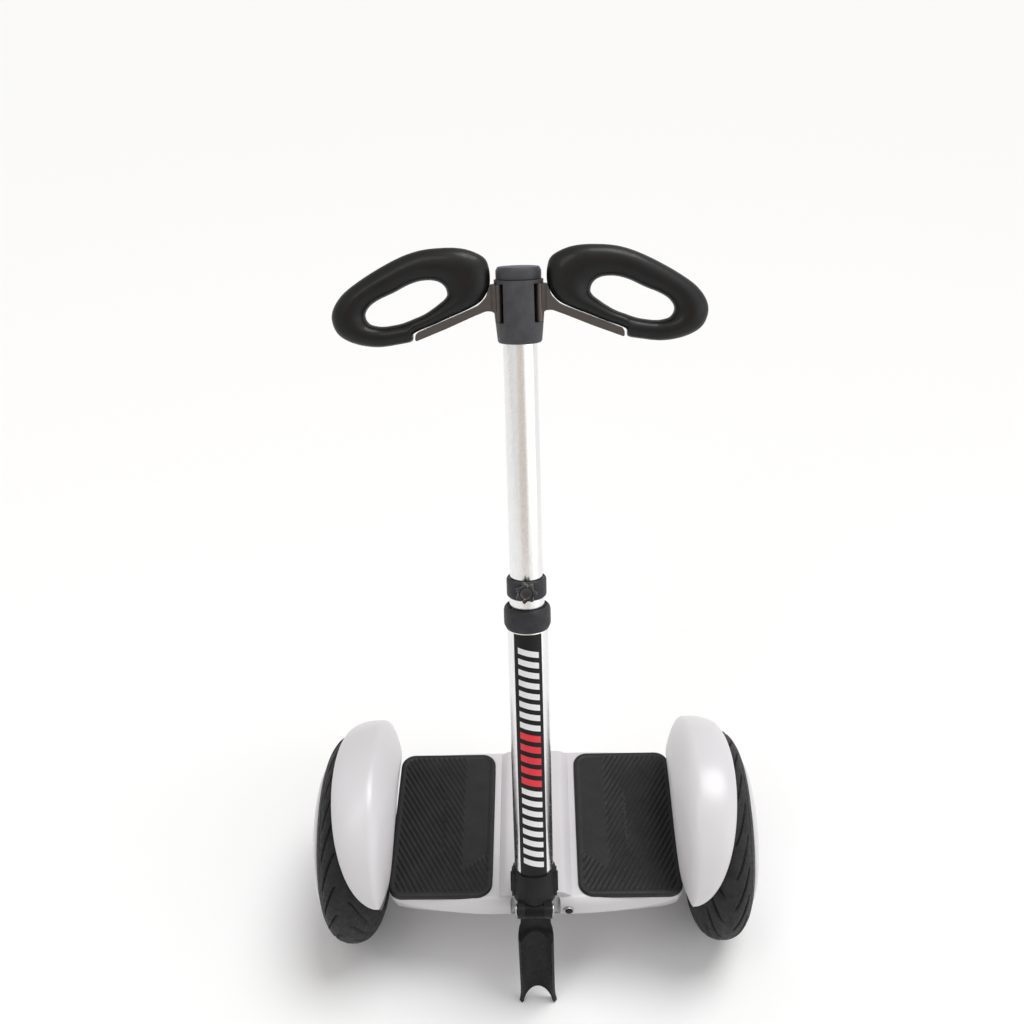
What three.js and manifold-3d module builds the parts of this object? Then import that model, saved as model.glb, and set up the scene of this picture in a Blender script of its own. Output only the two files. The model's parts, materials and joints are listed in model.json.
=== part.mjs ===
// Self balancing two wheel transporter with a leaning post, millimetres, +Z up, front towards -Y.
// It is drawn about the point on the ground below the axle, and moved at the end.
import * as THREE from 'three';
import { mergeVertices } from 'three/addons/utils/BufferGeometryUtils.js';
import Module from 'manifold-3d';

const wasm = await Module();
wasm.setup();

// Driving dimensions
const gap = 0.3;
const overrun = 20;
const tyreRadius = 128;
const tyreWidth = 70;
const bodyHalf = 180;
const wheelClear = 14;
const halfTrack = bodyHalf + wheelClear + tyreWidth / 2;
const bodyFront = 112;
const bodyRear = 119;
const deckRise = 20;
const lipDrop = 3;
const splitDrop = 16;
const keelDrop = 50;
const bodyTop = tyreRadius + deckRise;
const lipHeight = tyreRadius - lipDrop;
const bodySplit = tyreRadius - splitDrop;
const bodyBottom = tyreRadius - keelDrop;
const shellWall = 3;
const notchBack = 104;
const footAhead = 18.8;
const footRise = 53.6;
const postFootY = -notchBack - footAhead;
const postFootZ = tyreRadius + footRise;
const postLean = 0.39;
const shaftRise = 10;
const shaftZ = tyreRadius + shaftRise;

// Wheels
const tyreDeep = 45;
const flangeRise = 8;
const rimSeat = 7;
const beadRadius = tyreRadius - tyreDeep;
const beadHalf = 29;
const tyreFace = tyreWidth / 2;
const rimFlange = beadRadius + flangeRise;
const rimInner = beadRadius - rimSeat;
const rimDisc = 4;
const crownDrop = 4;
const shoulderDrop = 13;
const flankDrop = 21;
const sideDrop = 34;
const treadShoulder = tyreRadius - crownDrop;
const sideRadius = tyreRadius - sideDrop;
const crownHalf = 16;
const shoulderHalf = 26;
const flankHalf = 30.5;
const axleRadius = 8;
const plateInset = 30;
const clampSpan = 42;
const plateHalf = bodyHalf - plateInset;
const axleInner = plateHalf - clampSpan;
const bearingOuter = 16;
const bearingWidth = 9;
const magnetThick = 3.2;
const airGap = 1.5;
const statorHalf = 17;
const statorHub = 13;
const statorWebHalf = 6;
const magnetInner = rimInner - gap - magnetThick;
const statorRadius = magnetInner - airGap;
const statorDeep = 25;
const statorRing = statorRadius - statorDeep;
const coverLip = 3;
const coverRadius = rimFlange - coverLip;
const coverPeak = 49;
const coverWall = 4;
const valveRadius = 3.5;
const valveLength = 9;
const valveInset = 29;
const valvePlace = rimFlange - valveInset;
const wheelSegments = 28;

// Body, footpads and fenders
const padInner = 52;
const padMargin = 1.5;
const padOuter = bodyHalf - padMargin;
const padFront = 105;
const padRear = 109;
const padCorner = 18;
const padStand = 4;
const padSink = 3;
const padTop = bodyTop + padStand;
const padSeat = bodyTop - padSink;
const padBevel = 2.5;
const spineHalf = 44;
const spineTopHalf = 35;
const spineRise = 8;
const spineTop = bodyTop + spineRise;
const notchHalf = 30;
const notchDrop = 32;
const notchFloor = bodyTop - notchDrop;
const noseBevel = 10;
const keelBevel = 6;
const fenderWall = 3;
const fenderFootRise = 10;
const fenderClear = 6;
const fenderFoot = tyreRadius + fenderFootRise;
const fenderEdge = tyreRadius + fenderClear;
const fenderRise = 14;
const fenderInset = 14;
const fenderInner = bodyHalf - fenderInset;
const fenderWidth = 77;
const fenderTaper = 16;
const fenderTaperMore = 6;
const fenderDrop = 26;
const fenderDropMore = 8;
const fenderBlend = 80;
const fenderCentre = 5;
const fenderSpan = 70;
const fenderTurn = 80;
const plateThick = 5;
const plateDeep = 68;
const endWall = 10;
const endWallHalf = 42;
const shaftRadius = 9;
const shaftRear = 60;
const shaftSocket = 12;
const bearingPlaces = [-66, 48];
const shaftBearing = 13;
const shaftBearingHalf = 6;
const pedestalHalf = 17;
const pedestalDeep = 8;

// Post, measured along its axis from its foot
const lowerRadius = 22.5;
const lowerWall = 2.5;
const lowerStart = 8;
const lowerEnd = 350;
const upperRadius = 18.2;
const upperWall = 1.6;
const upperStart = 270;
const upperEnd = 668;
const headStart = 650;
const headEnd = 716;
const headTop = 729;
const socketRadius = 24.9;
const socketStart = 3;
const socketEnd = 36;
const ringStart = 328;
const ringEnd = 358;
const ringRadius = 26;
const neckRadius = 19.5;
const clampStart = 366;
const clampEnd = 389;
const clampRadius = 22;
const knobPlace = 381;
const knobRadius = 12;
const knobDepth = 9;
const roundSegments = 24;

// Kickstand
const pivotForward = 18;
const pivotPlace = -8.3;
const legLength = 180.7;
const legLean = 0.028;
const pinRadius = 4;

// Helpers that make and join closed solids
function bare(geometry) {
  const copy = geometry.clone();
  for (const name of Object.keys(copy.attributes)) {
    if (name !== 'position') copy.deleteAttribute(name);
  }
  const merged = mergeVertices(copy);
  const kept = [];
  const list = merged.index.array;
  for (let i = 0; i < list.length; i += 3) {
    const [a, b, c] = [list[i], list[i + 1], list[i + 2]];
    if (a !== b && b !== c && a !== c) kept.push(a, b, c);
  }
  merged.setIndex(kept);
  return merged;
}

function volumeOf(geometry) {
  const p = geometry.attributes.position;
  const list = geometry.index.array;
  const [a, b, c] = [new THREE.Vector3(), new THREE.Vector3(), new THREE.Vector3()];
  let total = 0;
  for (let i = 0; i < list.length; i += 3) {
    a.fromBufferAttribute(p, list[i]);
    b.fromBufferAttribute(p, list[i + 1]);
    c.fromBufferAttribute(p, list[i + 2]);
    total += a.dot(b.cross(c));
  }
  return total;
}

function faceOut(geometry) {
  const merged = bare(geometry);
  if (volumeOf(merged) < 0) {
    const list = Array.from(merged.index.array);
    for (let i = 0; i < list.length; i += 3) [list[i], list[i + 1]] = [list[i + 1], list[i]];
    merged.setIndex(list);
  }
  return merged;
}

function solid(geometry) {
  const merged = faceOut(geometry);
  return new wasm.Manifold(new wasm.Mesh({
    numProp: 3,
    vertProperties: new Float32Array(merged.attributes.position.array),
    triVerts: new Uint32Array(merged.index.array),
  }));
}

function geometryOf(manifold) {
  const mesh = manifold.getMesh();
  const geometry = new THREE.BufferGeometry();
  geometry.setAttribute('position', new THREE.BufferAttribute(mesh.vertProperties, 3));
  geometry.setIndex(Array.from(mesh.triVerts));
  return geometry;
}

function join(first, ...rest) {
  return geometryOf(rest.reduce((sum, next) => sum.add(solid(next)), solid(first)));
}

function cut(first, ...rest) {
  return geometryOf(rest.reduce((left, next) => left.subtract(solid(next)), solid(first)));
}

function block(x0, x1, y0, y1, z0, z1) {
  const geometry = new THREE.BoxGeometry(x1 - x0, y1 - y0, z1 - z0);
  return geometry.translate((x0 + x1) / 2, (y0 + y1) / 2, (z0 + z1) / 2);
}

// A ring or disc turned about +Z from [radius, height] points that close on themselves
function turned(points, segments = roundSegments) {
  const closed = points.map(([r, z]) => new THREE.Vector2(r, z));
  closed.push(closed[0].clone());
  return new THREE.LatheGeometry(closed, segments).rotateX(Math.PI / 2);
}

function sleeve(inner, outer, z0, z1, segments = roundSegments) {
  return turned([[inner, z0], [outer, z0], [outer, z1], [inner, z1]], segments);
}

function rod(radius, z0, z1, segments = roundSegments) {
  return new THREE.CylinderGeometry(radius, radius, z1 - z0, segments)
    .rotateX(Math.PI / 2).translate(0, 0, (z0 + z1) / 2);
}

function alongX(geometry) {
  return geometry.rotateY(Math.PI / 2);
}

function alongY(geometry) {
  return geometry.rotateX(-Math.PI / 2);
}

function polygon(points) {
  return new THREE.Shape(points.map(([x, y]) => new THREE.Vector2(x, y)));
}

function roundedRectangle(x0, x1, y0, y1, r) {
  const shape = new THREE.Shape();
  shape.moveTo(x0 + r, y0);
  shape.lineTo(x1 - r, y0);
  shape.absarc(x1 - r, y0 + r, r, -Math.PI / 2, 0);
  shape.lineTo(x1, y1 - r);
  shape.absarc(x1 - r, y1 - r, r, 0, Math.PI / 2);
  shape.lineTo(x0 + r, y1);
  shape.absarc(x0 + r, y1 - r, r, Math.PI / 2, Math.PI);
  shape.lineTo(x0, y0 + r);
  shape.absarc(x0 + r, y0 + r, r, Math.PI, 1.5 * Math.PI);
  return shape;
}

function raised(shape, z0, z1, bevel = 0, curveSegments = 4) {
  const depth = z1 - z0 - 2 * bevel;
  const geometry = new THREE.ExtrudeGeometry(shape, {
    depth, curveSegments, bevelEnabled: bevel > 0,
    bevelSize: bevel, bevelThickness: bevel, bevelOffset: -bevel, bevelSegments: 3,
  });
  return geometry.translate(0, 0, z0 + bevel);
}

// An outline in Y and Z, drawn out along X
function acrossX(points, x0, x1) {
  const turn = new THREE.Matrix4().makeBasis(
    new THREE.Vector3(0, 1, 0), new THREE.Vector3(0, 0, 1), new THREE.Vector3(1, 0, 0));
  return raised(polygon(points), x0, x1).applyMatrix4(turn);
}

// An outline in X and Z, drawn out along Y
function acrossY(points, y0, y1) {
  return raised(polygon(points), -y1, -y0).rotateX(Math.PI / 2);
}

// A closed solid through loops of [x, y] points, one loop for each height
function lofted(loops, heights) {
  const count = loops[0].length;
  const points = loops.flatMap((loop, k) => loop.map(([x, y]) => [x, y, heights[k]]));
  const index = [];
  for (let k = 0; k + 1 < loops.length; k += 1) {
    for (let i = 0; i < count; i += 1) {
      const [a, b] = [k * count + i, k * count + (i + 1) % count];
      index.push(a, b, b + count, a, b + count, a + count);
    }
  }
  const last = (loops.length - 1) * count;
  const flat = (loop) => THREE.ShapeUtils.triangulateShape(
    loop.map(([x, y]) => new THREE.Vector2(x, y)), []);
  for (const [a, b, c] of flat(loops[0])) index.push(a, c, b);
  for (const [a, b, c] of flat(loops[loops.length - 1])) index.push(last + a, last + b, last + c);
  const geometry = new THREE.BufferGeometry();
  geometry.setAttribute('position', new THREE.Float32BufferAttribute(points.flat(), 3));
  geometry.setIndex(index);
  return geometry;
}

// A closed skin between two grids of points of one size
function skin(outer, inner) {
  const rows = outer.length;
  const columns = outer[0].length;
  const points = [...outer.flat(), ...inner.flat()];
  const shift = rows * columns;
  const index = [];
  const quad = (a, b, c, d) => index.push(a, b, c, a, c, d);
  const at = (i, j) => i * columns + j;
  for (let i = 0; i + 1 < rows; i += 1) {
    for (let j = 0; j + 1 < columns; j += 1) {
      quad(at(i, j), at(i + 1, j), at(i + 1, j + 1), at(i, j + 1));
      quad(shift + at(i, j), shift + at(i, j + 1), shift + at(i + 1, j + 1), shift + at(i + 1, j));
    }
  }
  const edge = [];
  for (let j = 0; j < columns; j += 1) edge.push(at(0, j));
  for (let i = 1; i < rows; i += 1) edge.push(at(i, columns - 1));
  for (let j = columns - 2; j >= 0; j -= 1) edge.push(at(rows - 1, j));
  for (let i = rows - 2; i > 0; i -= 1) edge.push(at(i, 0));
  edge.forEach((a, k) => {
    const b = edge[(k + 1) % edge.length];
    quad(a, b, shift + b, shift + a);
  });
  const geometry = new THREE.BufferGeometry();
  geometry.setAttribute('position', new THREE.Float32BufferAttribute(points.flat(), 3));
  geometry.setIndex(index);
  return geometry;
}

// The scene graph and its materials
const transporter = new THREE.Group();
const finishes = {
  white: new THREE.MeshStandardMaterial({ color: 0xe9e7e6, roughness: 0.25, metalness: 0 }),
  tyre: new THREE.MeshStandardMaterial({ color: 0x1b1c1e, roughness: 0.8, metalness: 0 }),
  rubber: new THREE.MeshStandardMaterial({ color: 0x161617, roughness: 0.7, metalness: 0 }),
  black: new THREE.MeshStandardMaterial({ color: 0x2c2d30, roughness: 0.55, metalness: 0 }),
  silver: new THREE.MeshStandardMaterial({ color: 0xc9cacc, roughness: 0.3, metalness: 0.9 }),
  steel: new THREE.MeshStandardMaterial({ color: 0x8f9194, roughness: 0.4, metalness: 0.9 }),
  copper: new THREE.MeshStandardMaterial({ color: 0xa8703f, roughness: 0.5, metalness: 0.6 }),
  battery: new THREE.MeshStandardMaterial({ color: 0x2f4f8a, roughness: 0.5, metalness: 0 }),
  board: new THREE.MeshStandardMaterial({ color: 0x1f5a35, roughness: 0.6, metalness: 0 }),
  red: new THREE.MeshStandardMaterial({ color: 0xb3151b, roughness: 0.3, metalness: 0 }),
};

function addMesh(name, geometry, finish, parent = transporter) {
  const mesh = new THREE.Mesh(faceOut(geometry), finishes[finish].clone());
  mesh.name = name;
  parent.add(mesh);
  return mesh;
}

function placed(geometry, x, y, z) {
  return geometry.translate(x, y, z);
}

// Wheels, each drawn about its own axle with +Z outward, then turned to its side
function tyreSolid() {
  return turned([
    [beadRadius, -beadHalf], [rimFlange + gap, -beadHalf], [rimFlange + gap, -tyreFace + 1],
    [sideRadius, -tyreFace], [tyreRadius - flankDrop, -flankHalf],
    [tyreRadius - shoulderDrop, -shoulderHalf], [treadShoulder, -crownHalf],
    [tyreRadius - gap * 3, -crownHalf / 2], [tyreRadius, 0], [tyreRadius - gap * 3, crownHalf / 2],
    [treadShoulder, crownHalf], [tyreRadius - shoulderDrop, shoulderHalf],
    [tyreRadius - flankDrop, flankHalf], [sideRadius, tyreFace],
    [rimFlange + gap, tyreFace - 1], [rimFlange + gap, beadHalf],
    [beadRadius, beadHalf],
  ], wheelSegments);
}

function rimSolid() {
  return turned([
    [bearingOuter + gap, -beadHalf], [rimFlange, -beadHalf - shellWall], [rimFlange, -beadHalf - gap],
    [beadRadius - gap, -beadHalf - gap], [beadRadius - gap, beadHalf + gap],
    [rimFlange, beadHalf + gap], [rimFlange, beadHalf + shellWall], [rimInner, beadHalf + shellWall],
    [rimInner, -beadHalf + rimDisc], [bearingOuter + rimDisc, -beadHalf + rimDisc],
    [bearingOuter + rimDisc, -beadHalf + bearingWidth], [bearingOuter + gap, -beadHalf + bearingWidth],
  ], wheelSegments);
}

function hubCoverSolid() {
  const seat = beadHalf + shellWall + gap;
  const steps = 5;
  const outside = [];
  const inside = [];
  for (let i = 0; i <= steps; i += 1) {
    const turn = (i / steps) * (Math.PI / 2);
    const rise = coverPeak - seat - coverWall;
    outside.push([coverRadius * Math.cos(turn), seat + coverWall + rise * Math.sin(turn)]);
    inside.push([(coverRadius - 2 * coverWall) * Math.cos(turn), seat + rise * Math.sin(turn)]);
  }
  outside[steps][0] = 0;
  inside[steps][0] = 0;
  return turned([[coverRadius, seat], ...outside, ...inside.reverse()], wheelSegments);
}

function statorSolid() {
  return turned([
    [axleRadius + gap, -statorHalf], [statorHub, -statorHalf], [statorHub, -statorWebHalf],
    [statorRing, -statorWebHalf], [statorRing, -statorHalf], [statorRadius, -statorHalf],
    [statorRadius, statorHalf], [statorRing, statorHalf], [statorRing, statorWebHalf],
    [statorHub, statorWebHalf], [statorHub, statorHalf], [axleRadius + gap, statorHalf],
  ], roundSegments);
}

const wheelRest = new THREE.Vector3(0, 0, tyreRadius);
for (const [name, side] of [['left', -1], ['right', 1]]) {
  const wheel = new THREE.Group();
  wheel.position.copy(wheelRest).setX(side * halfTrack);
  wheel.rotation.y = side * Math.PI / 2;
  transporter.add(wheel);
  addMesh(`${name}_tyre`, tyreSolid(), 'tyre', wheel);
  addMesh(`${name}_rim`, rimSolid(), 'silver', wheel);
  addMesh(`${name}_hub_cover`, hubCoverSolid(), 'white', wheel);
  addMesh(`${name}_magnet_ring`,
    sleeve(magnetInner, rimInner - gap, -statorHalf, statorHalf, wheelSegments), 'steel', wheel);
  addMesh(`${name}_hub_bearing`,
    sleeve(axleRadius + gap, bearingOuter, -beadHalf, -beadHalf + bearingWidth, 24), 'steel', wheel);
  addMesh(`${name}_valve_stem`, placed(rod(valveRadius, 0, valveLength, 12),
    0, valvePlace, -beadHalf - valveLength - gap - shellWall * valvePlace / rimFlange), 'rubber', wheel);
  addMesh(`${name}_stator`, statorSolid(), 'copper', wheel);
  const axleOuter = beadHalf + shellWall;
  const axleSolid = join(rod(axleRadius, axleInner - halfTrack, axleOuter, 24),
    rod(statorHub, -statorHalf - 2 * rimDisc / 4 - gap, -statorHalf - gap, 24));
  addMesh(`${name}_axle`, axleSolid, 'steel', wheel);
}

// Body shells
const frontShares = [[0.37, 0.995], [0.57, 0.965], [0.76, 0.92], [0.89, 0.873], [1, 0.8]];
const keelShares = [0.73, 0.7, 0.67, 0.65, 0.6];
const rearShares = [[1, 0.8], [0.975, 0.9], [0.93, 0.95], [0.56, 0.99]];

// The outline at a height: below the lip its front is drawn in towards the keel
function bodyLoop(inset, z) {
  const low = THREE.MathUtils.clamp((lipHeight - z) / (lipHeight - bodyBottom), 0, 1);
  const half = bodyHalf - inset;
  const front = bodyFront - inset;
  const rear = bodyRear - inset;
  const right = [
    ...frontShares.map(([x, y], i) => [x * half, -(y + (keelShares[i] - y) * low) * front]),
    ...rearShares.map(([x, y]) => [x * half, y * rear]),
  ];
  const left = right.map(([x, y]) => [-x, y]).reverse();
  return [...right, ...left];
}

// The body between two heights, rounded over at its top or its keel
function bodySolid(inset, z0, z1, rounding, atTop) {
  const steps = 4;
  const rows = [[inset, atTop ? z0 : z1]];
  if (z0 < lipHeight && z1 > lipHeight) rows.push([inset, lipHeight]);
  for (let i = 0; i <= steps; i += 1) {
    const turn = (i / steps) * (Math.PI / 2);
    rows.push([inset + rounding * (1 - Math.cos(turn)),
      atTop ? z1 - rounding * (1 - Math.sin(turn)) : z0 + rounding * (1 - Math.sin(turn))]);
  }
  return lofted(rows.map(([grow, z]) => bodyLoop(grow, z)), rows.map(([, z]) => z));
}

function padOutline(side, inset) {
  const [x0, x1] = side > 0 ? [padInner, padOuter] : [-padOuter, -padInner];
  return roundedRectangle(x0 + inset, x1 - inset, -padFront + inset, padRear - inset, padCorner - inset);
}

function spineSolid(inset, y0, y1) {
  const low = bodyTop - noseBevel;
  return acrossY([
    [-spineHalf + inset, low], [spineHalf - inset, low],
    [spineHalf - inset, bodyTop - inset], [spineTopHalf - inset, spineTop - inset],
    [-spineTopHalf + inset, spineTop - inset], [-spineHalf + inset, bodyTop - inset],
  ], y0, y1);
}

function upperShellSolid() {
  const wide = bodyHalf + overrun;
  let outside = solid(bodySolid(0, bodySplit, bodyTop, noseBevel, true));
  const spineRear = bodyRear - noseBevel;
  outside = outside.add(solid(spineSolid(0, -notchBack, spineRear)));
  const padFloor = padSeat - shellWall;
  let inside = solid(bodySolid(shellWall, bodySplit - overrun, padFloor, noseBevel, true));
  inside = inside.add(solid(spineSolid(shellWall, -notchBack + shellWall, spineRear - shellWall)));
  const keep = notchHalf + shellWall;
  inside = inside.subtract(solid(
    block(-keep, keep, -wide, -notchBack + shellWall, 0, spineTop + overrun)));
  let shell = outside.subtract(inside);
  for (const side of [-1, 1]) {
    shell = shell.subtract(solid(raised(padOutline(side, -gap), padSeat, padTop + overrun)));
    const reach = side * bodyHalf;
    const ends = [Math.min(reach - overrun * side, reach + overrun * side),
      Math.max(reach - overrun * side, reach + overrun * side)];
    const bore = placed(alongX(rod(axleRadius + 1, ends[0], ends[1], 24)), 0, 0, tyreRadius);
    shell = shell.subtract(solid(bore));
  }
  const notch = block(-notchHalf, notchHalf, -wide, -notchBack, notchFloor, spineTop + overrun);
  shell = shell.subtract(solid(notch));
  const shaftHole = placed(alongY(rod(shaftBearing, notchBack - overrun, notchBack + overrun, 24)),
    0, 0, shaftZ);
  shell = shell.subtract(solid(shaftHole.scale(1, -1, 1)));
  const buttonHole = placed(alongY(rod(buttonHoleRadius, bodyFront - overrun, bodyFront + overrun, 20)),
    buttonX, 0, buttonZ);
  shell = shell.subtract(solid(buttonHole.scale(1, -1, 1)));
  return geometryOf(shell);
}

function lowerShellSolid() {
  const floor = bodyBottom + shellWall + 1;
  return cut(bodySolid(0, bodyBottom, bodySplit - gap, keelBevel, false),
    bodySolid(shellWall, floor, bodySplit + overrun, keelBevel, false));
}

// Front button place, which the upper shell's hole shares
const buttonX = 40;
const fittingRise = 14;
const buttonRise = 6.5;
const buttonZ = lipHeight + buttonRise;
const buttonHoleRadius = 5.6;
const bezelRadius = 6.4;
const bezelInner = 4.7;
const bezelDepth = 1.6;
const buttonRadius = 4.3;
const buttonStand = 2.6;
const buttonLength = 12;

addMesh('upper_shell', upperShellSolid(), 'white');
addMesh('lower_shell', lowerShellSolid(), 'white');
const bezelY = -0.995 * bodyFront - gap;
addMesh('button_bezel', placed(alongY(sleeve(bezelInner, bezelRadius, 0, bezelDepth, 20)),
  buttonX, bezelY - bezelDepth, buttonZ), 'steel');
addMesh('power_button', placed(alongY(rod(buttonRadius, 0, buttonLength, 20)),
  buttonX, bezelY - buttonStand, buttonZ), 'black');

// Footpads and the sensors below them
const sensorWide = 40;
const sensorDeep = 90;
const sensorThick = 2;
const sensorClear = 4.75;
for (const [name, side] of [['left', -1], ['right', 1]]) {
  const seat = padSeat + gap;
  const base = raised(padOutline(side, 0), seat, padTop - padBevel);
  const top = raised(padOutline(side, padBevel), seat, padTop, padBevel);
  addMesh(`${name}_footpad`, join(base, top), 'rubber');
  const sensorX = side * (plateHalf - endWall - sensorClear - sensorWide / 2);
  const under = padSeat - shellWall - gap;
  addMesh(`${name}_foot_sensor`, block(sensorX - sensorWide / 2, sensorX + sensorWide / 2,
    -sensorDeep / 2, sensorDeep / 2, under - sensorThick, under), 'board');
}

// Fenders: a petal round the tyre with an inner wall down to the body
const fenderRows = 13;
const fenderWallRows = 3;
const fenderCrownRows = 7;

function fenderSection(theta) {
  const taper = Math.cos(theta);
  const angle = THREE.MathUtils.degToRad(fenderCentre) +
    THREE.MathUtils.degToRad(fenderSpan) * Math.sin(theta);
  const foot = (fenderFoot - tyreRadius) / Math.cos(angle);
  const behind = Math.max(0, -Math.sin(theta));
  const inner = fenderInner + (fenderTaper + fenderTaperMore * behind) * (1 - taper);
  const drop = fenderDrop + fenderDropMore * behind;
  const footX = bodyHalf + gap;
  const width = fenderWidth * taper;
  const rise = fenderRise * taper;
  const line = [];
  for (let j = 0; j < fenderWallRows; j += 1) {
    const f = j / fenderWallRows;
    line.push([footX - (footX - inner) * f * f, foot + (fenderEdge - drop - foot) * f]);
  }
  for (let j = 0; j <= fenderCrownRows; j += 1) {
    const turn = Math.PI * j / fenderCrownRows;
    const left = drop * (1 - THREE.MathUtils.smoothstep(turn, 0, THREE.MathUtils.degToRad(fenderBlend)));
    line.push([
      inner + width * (1 - Math.cos(turn)) / 2, fenderEdge - left + rise * Math.sin(turn) ** 0.8,
    ]);
  }
  return { line, angle };
}

function fenderSolid(side) {
  const outer = [];
  const inner = [];
  for (let i = 0; i < fenderRows; i += 1) {
    const theta = THREE.MathUtils.degToRad(fenderTurn) * (2 * i / (fenderRows - 1) - 1);
    const { line, angle } = fenderSection(theta);
    const place = ([x, r]) => [side * x, -r * Math.sin(angle), tyreRadius + r * Math.cos(angle)];
    const pulled = line.map(([x, r], j) => {
      const a = line[Math.max(j - 1, 0)];
      const b = line[Math.min(j + 1, line.length - 1)];
      const long = Math.hypot(b[0] - a[0], b[1] - a[1]);
      const wall = Math.min(fenderWall, long);
      return [x + wall * (b[1] - a[1]) / long, r - wall * (b[0] - a[0]) / long];
    });
    outer.push(line.map(place));
    inner.push(pulled.map(place));
  }
  return skin(outer, inner);
}

for (const [name, side] of [['left', -1], ['right', 1]]) {
  addMesh(`${name}_fender`, fenderSolid(side), 'white');
}

// Frame inside the body, with its bearings, clamps and electrics
const frameFloor = bodyBottom + shellWall + 1 + gap;
const frameTop = frameFloor + plateThick;
const underTop = padSeat - shellWall - gap;
const pedestalTop = spineTop - shellWall - 2;

function frameSolid() {
  let frame = solid(block(-plateHalf, plateHalf, -plateDeep, plateDeep, frameFloor, frameTop));
  for (const side of [-1, 1]) {
    const x0 = side > 0 ? plateHalf - endWall : -plateHalf;
    frame = frame.add(solid(block(x0, x0 + endWall, -endWallHalf, endWallHalf, frameTop - 1, underTop)));
  }
  for (const y of bearingPlaces) {
    const post = block(-pedestalHalf, pedestalHalf, y - pedestalDeep, y + pedestalDeep,
      frameTop - 1, pedestalTop);
    frame = frame.add(solid(post));
  }
  const wide = plateHalf + overrun;
  frame = frame.subtract(solid(
    placed(alongX(rod(axleRadius + gap, -wide, wide, 24)), 0, 0, tyreRadius)));
  return geometryOf(frame.subtract(solid(
    placed(alongY(rod(shaftBearing + gap, -wide, wide, 32)), 0, 0, shaftZ))));
}

addMesh('chassis_frame', frameSolid(), 'steel');
bearingPlaces.forEach((y, i) => {
  addMesh(['front_shaft_bearing', 'rear_shaft_bearing'][i], placed(alongY(
    sleeve(shaftRadius + gap, shaftBearing, -shaftBearingHalf, shaftBearingHalf, 32)),
  0, y, shaftZ), 'steel');
});

const blockFront = -44;
const blockRear = 6;
addMesh('centering_block', cut(
  block(-pedestalHalf, pedestalHalf, blockFront, blockRear, frameTop + gap, pedestalTop),
  placed(alongY(rod(shaftRadius + gap, -bodyFront, bodyFront, 32)), 0, 0, shaftZ)), 'rubber');

const clampWidth = 26;
const clampHalf = 17;
const clampRise = 10;
const clampTop = tyreRadius + clampRise;
for (const [name, side] of [['left', -1], ['right', 1]]) {
  const near = plateHalf - endWall - gap;
  const [x0, x1] = side > 0 ? [near - clampWidth, near] : [-near, clampWidth - near];
  addMesh(`${name}_axle_clamp`, cut(
    block(x0, x1, -clampHalf, clampHalf, frameTop + gap, clampTop),
    placed(alongX(rod(axleRadius + gap, -bodyHalf, bodyHalf, 24)), 0, 0, tyreRadius)), 'silver');
}

const packInner = 24;
const packOuter = plateHalf - clampSpan;
const packFront = -78;
const packRear = 56;
addMesh('battery_pack', block(-packOuter, -packInner, packFront, packRear,
  frameTop + gap, underTop - 2), 'battery');
const boardThick = 3;
const heatTop = tyreRadius;
addMesh('control_board', join(
  block(packInner, packOuter, packFront, packRear, frameTop + gap, frameTop + gap + boardThick),
  block(packInner + endWall, packOuter - endWall, packFront + endWall, -endWall,
    frameTop + boardThick, heatTop)), 'board');

// Rear fittings
const rearFace = 0.99 * bodyRear + gap;
const lightHalf = 58;
const lightRise = 9;
const lightTall = 11;
const lightLow = bodySplit + lightRise;
const lightHigh = lightLow + lightTall;
const lightThick = 2.5;
const lightCorner = 4;
addMesh('tail_light', placed(raised(roundedRectangle(-lightHalf, lightHalf, lightLow, lightHigh, lightCorner),
  0, lightThick).rotateX(Math.PI / 2), 0, rearFace + lightThick, 0), 'red');
const portX = -84;
const portZ = bodySplit + fittingRise;
const portRadius = 9;
const portInner = 6.5;
const portDepth = 2.5;
const portRecess = 1.5;
addMesh('charge_port', placed(alongY(turned([
  [0, 0], [portRadius, 0], [portRadius, portDepth], [portInner, portDepth],
  [portInner, portDepth - portRecess], [0, portDepth - portRecess],
], 24)), portX, rearFace, portZ), 'black');

// Leaning post: in this group +Z runs up the post from its foot and -Y is its front
const post = new THREE.Group();
post.position.set(0, postFootY, postFootZ);
post.rotation.x = -postLean;
transporter.add(post);

// A point of the upright frame, given in the post's own [forward, up] sizes
function inPost(y, z) {
  const [dy, dz] = [y - postFootY, z - postFootZ];
  return [dy * Math.cos(postLean) - dz * Math.sin(postLean),
    dy * Math.sin(postLean) + dz * Math.cos(postLean)];
}

// Steering shaft and the socket that carries the post
addMesh('steering_shaft', placed(alongY(rod(shaftRadius, -notchBack - shaftSocket, shaftRear, 32)),
  0, 0, shaftZ), 'steel');

const buttonHigh = 22;
const buttonWide = 13;
const buttonMiddle = 17;
const bossOuter = 26.2;
const bossMargin = 2.5;
const pocketFloor = 24.2;
const releaseOuter = 27.6;
const releaseTravel = 1.3;
const earInner = 11;
const earOuter = 20;
const earRadius = 10;
const blockHalf = 18;
const stemAhead = 6.2;
const stemFrontY = postFootY - stemAhead;
const stemBackY = -notchBack - 2;
const stemRise = 4.4;
const stemDrop = 59.6;
const stemTopZ = postFootZ + stemRise;
const stemLowZ = postFootZ - stemDrop;

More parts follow.
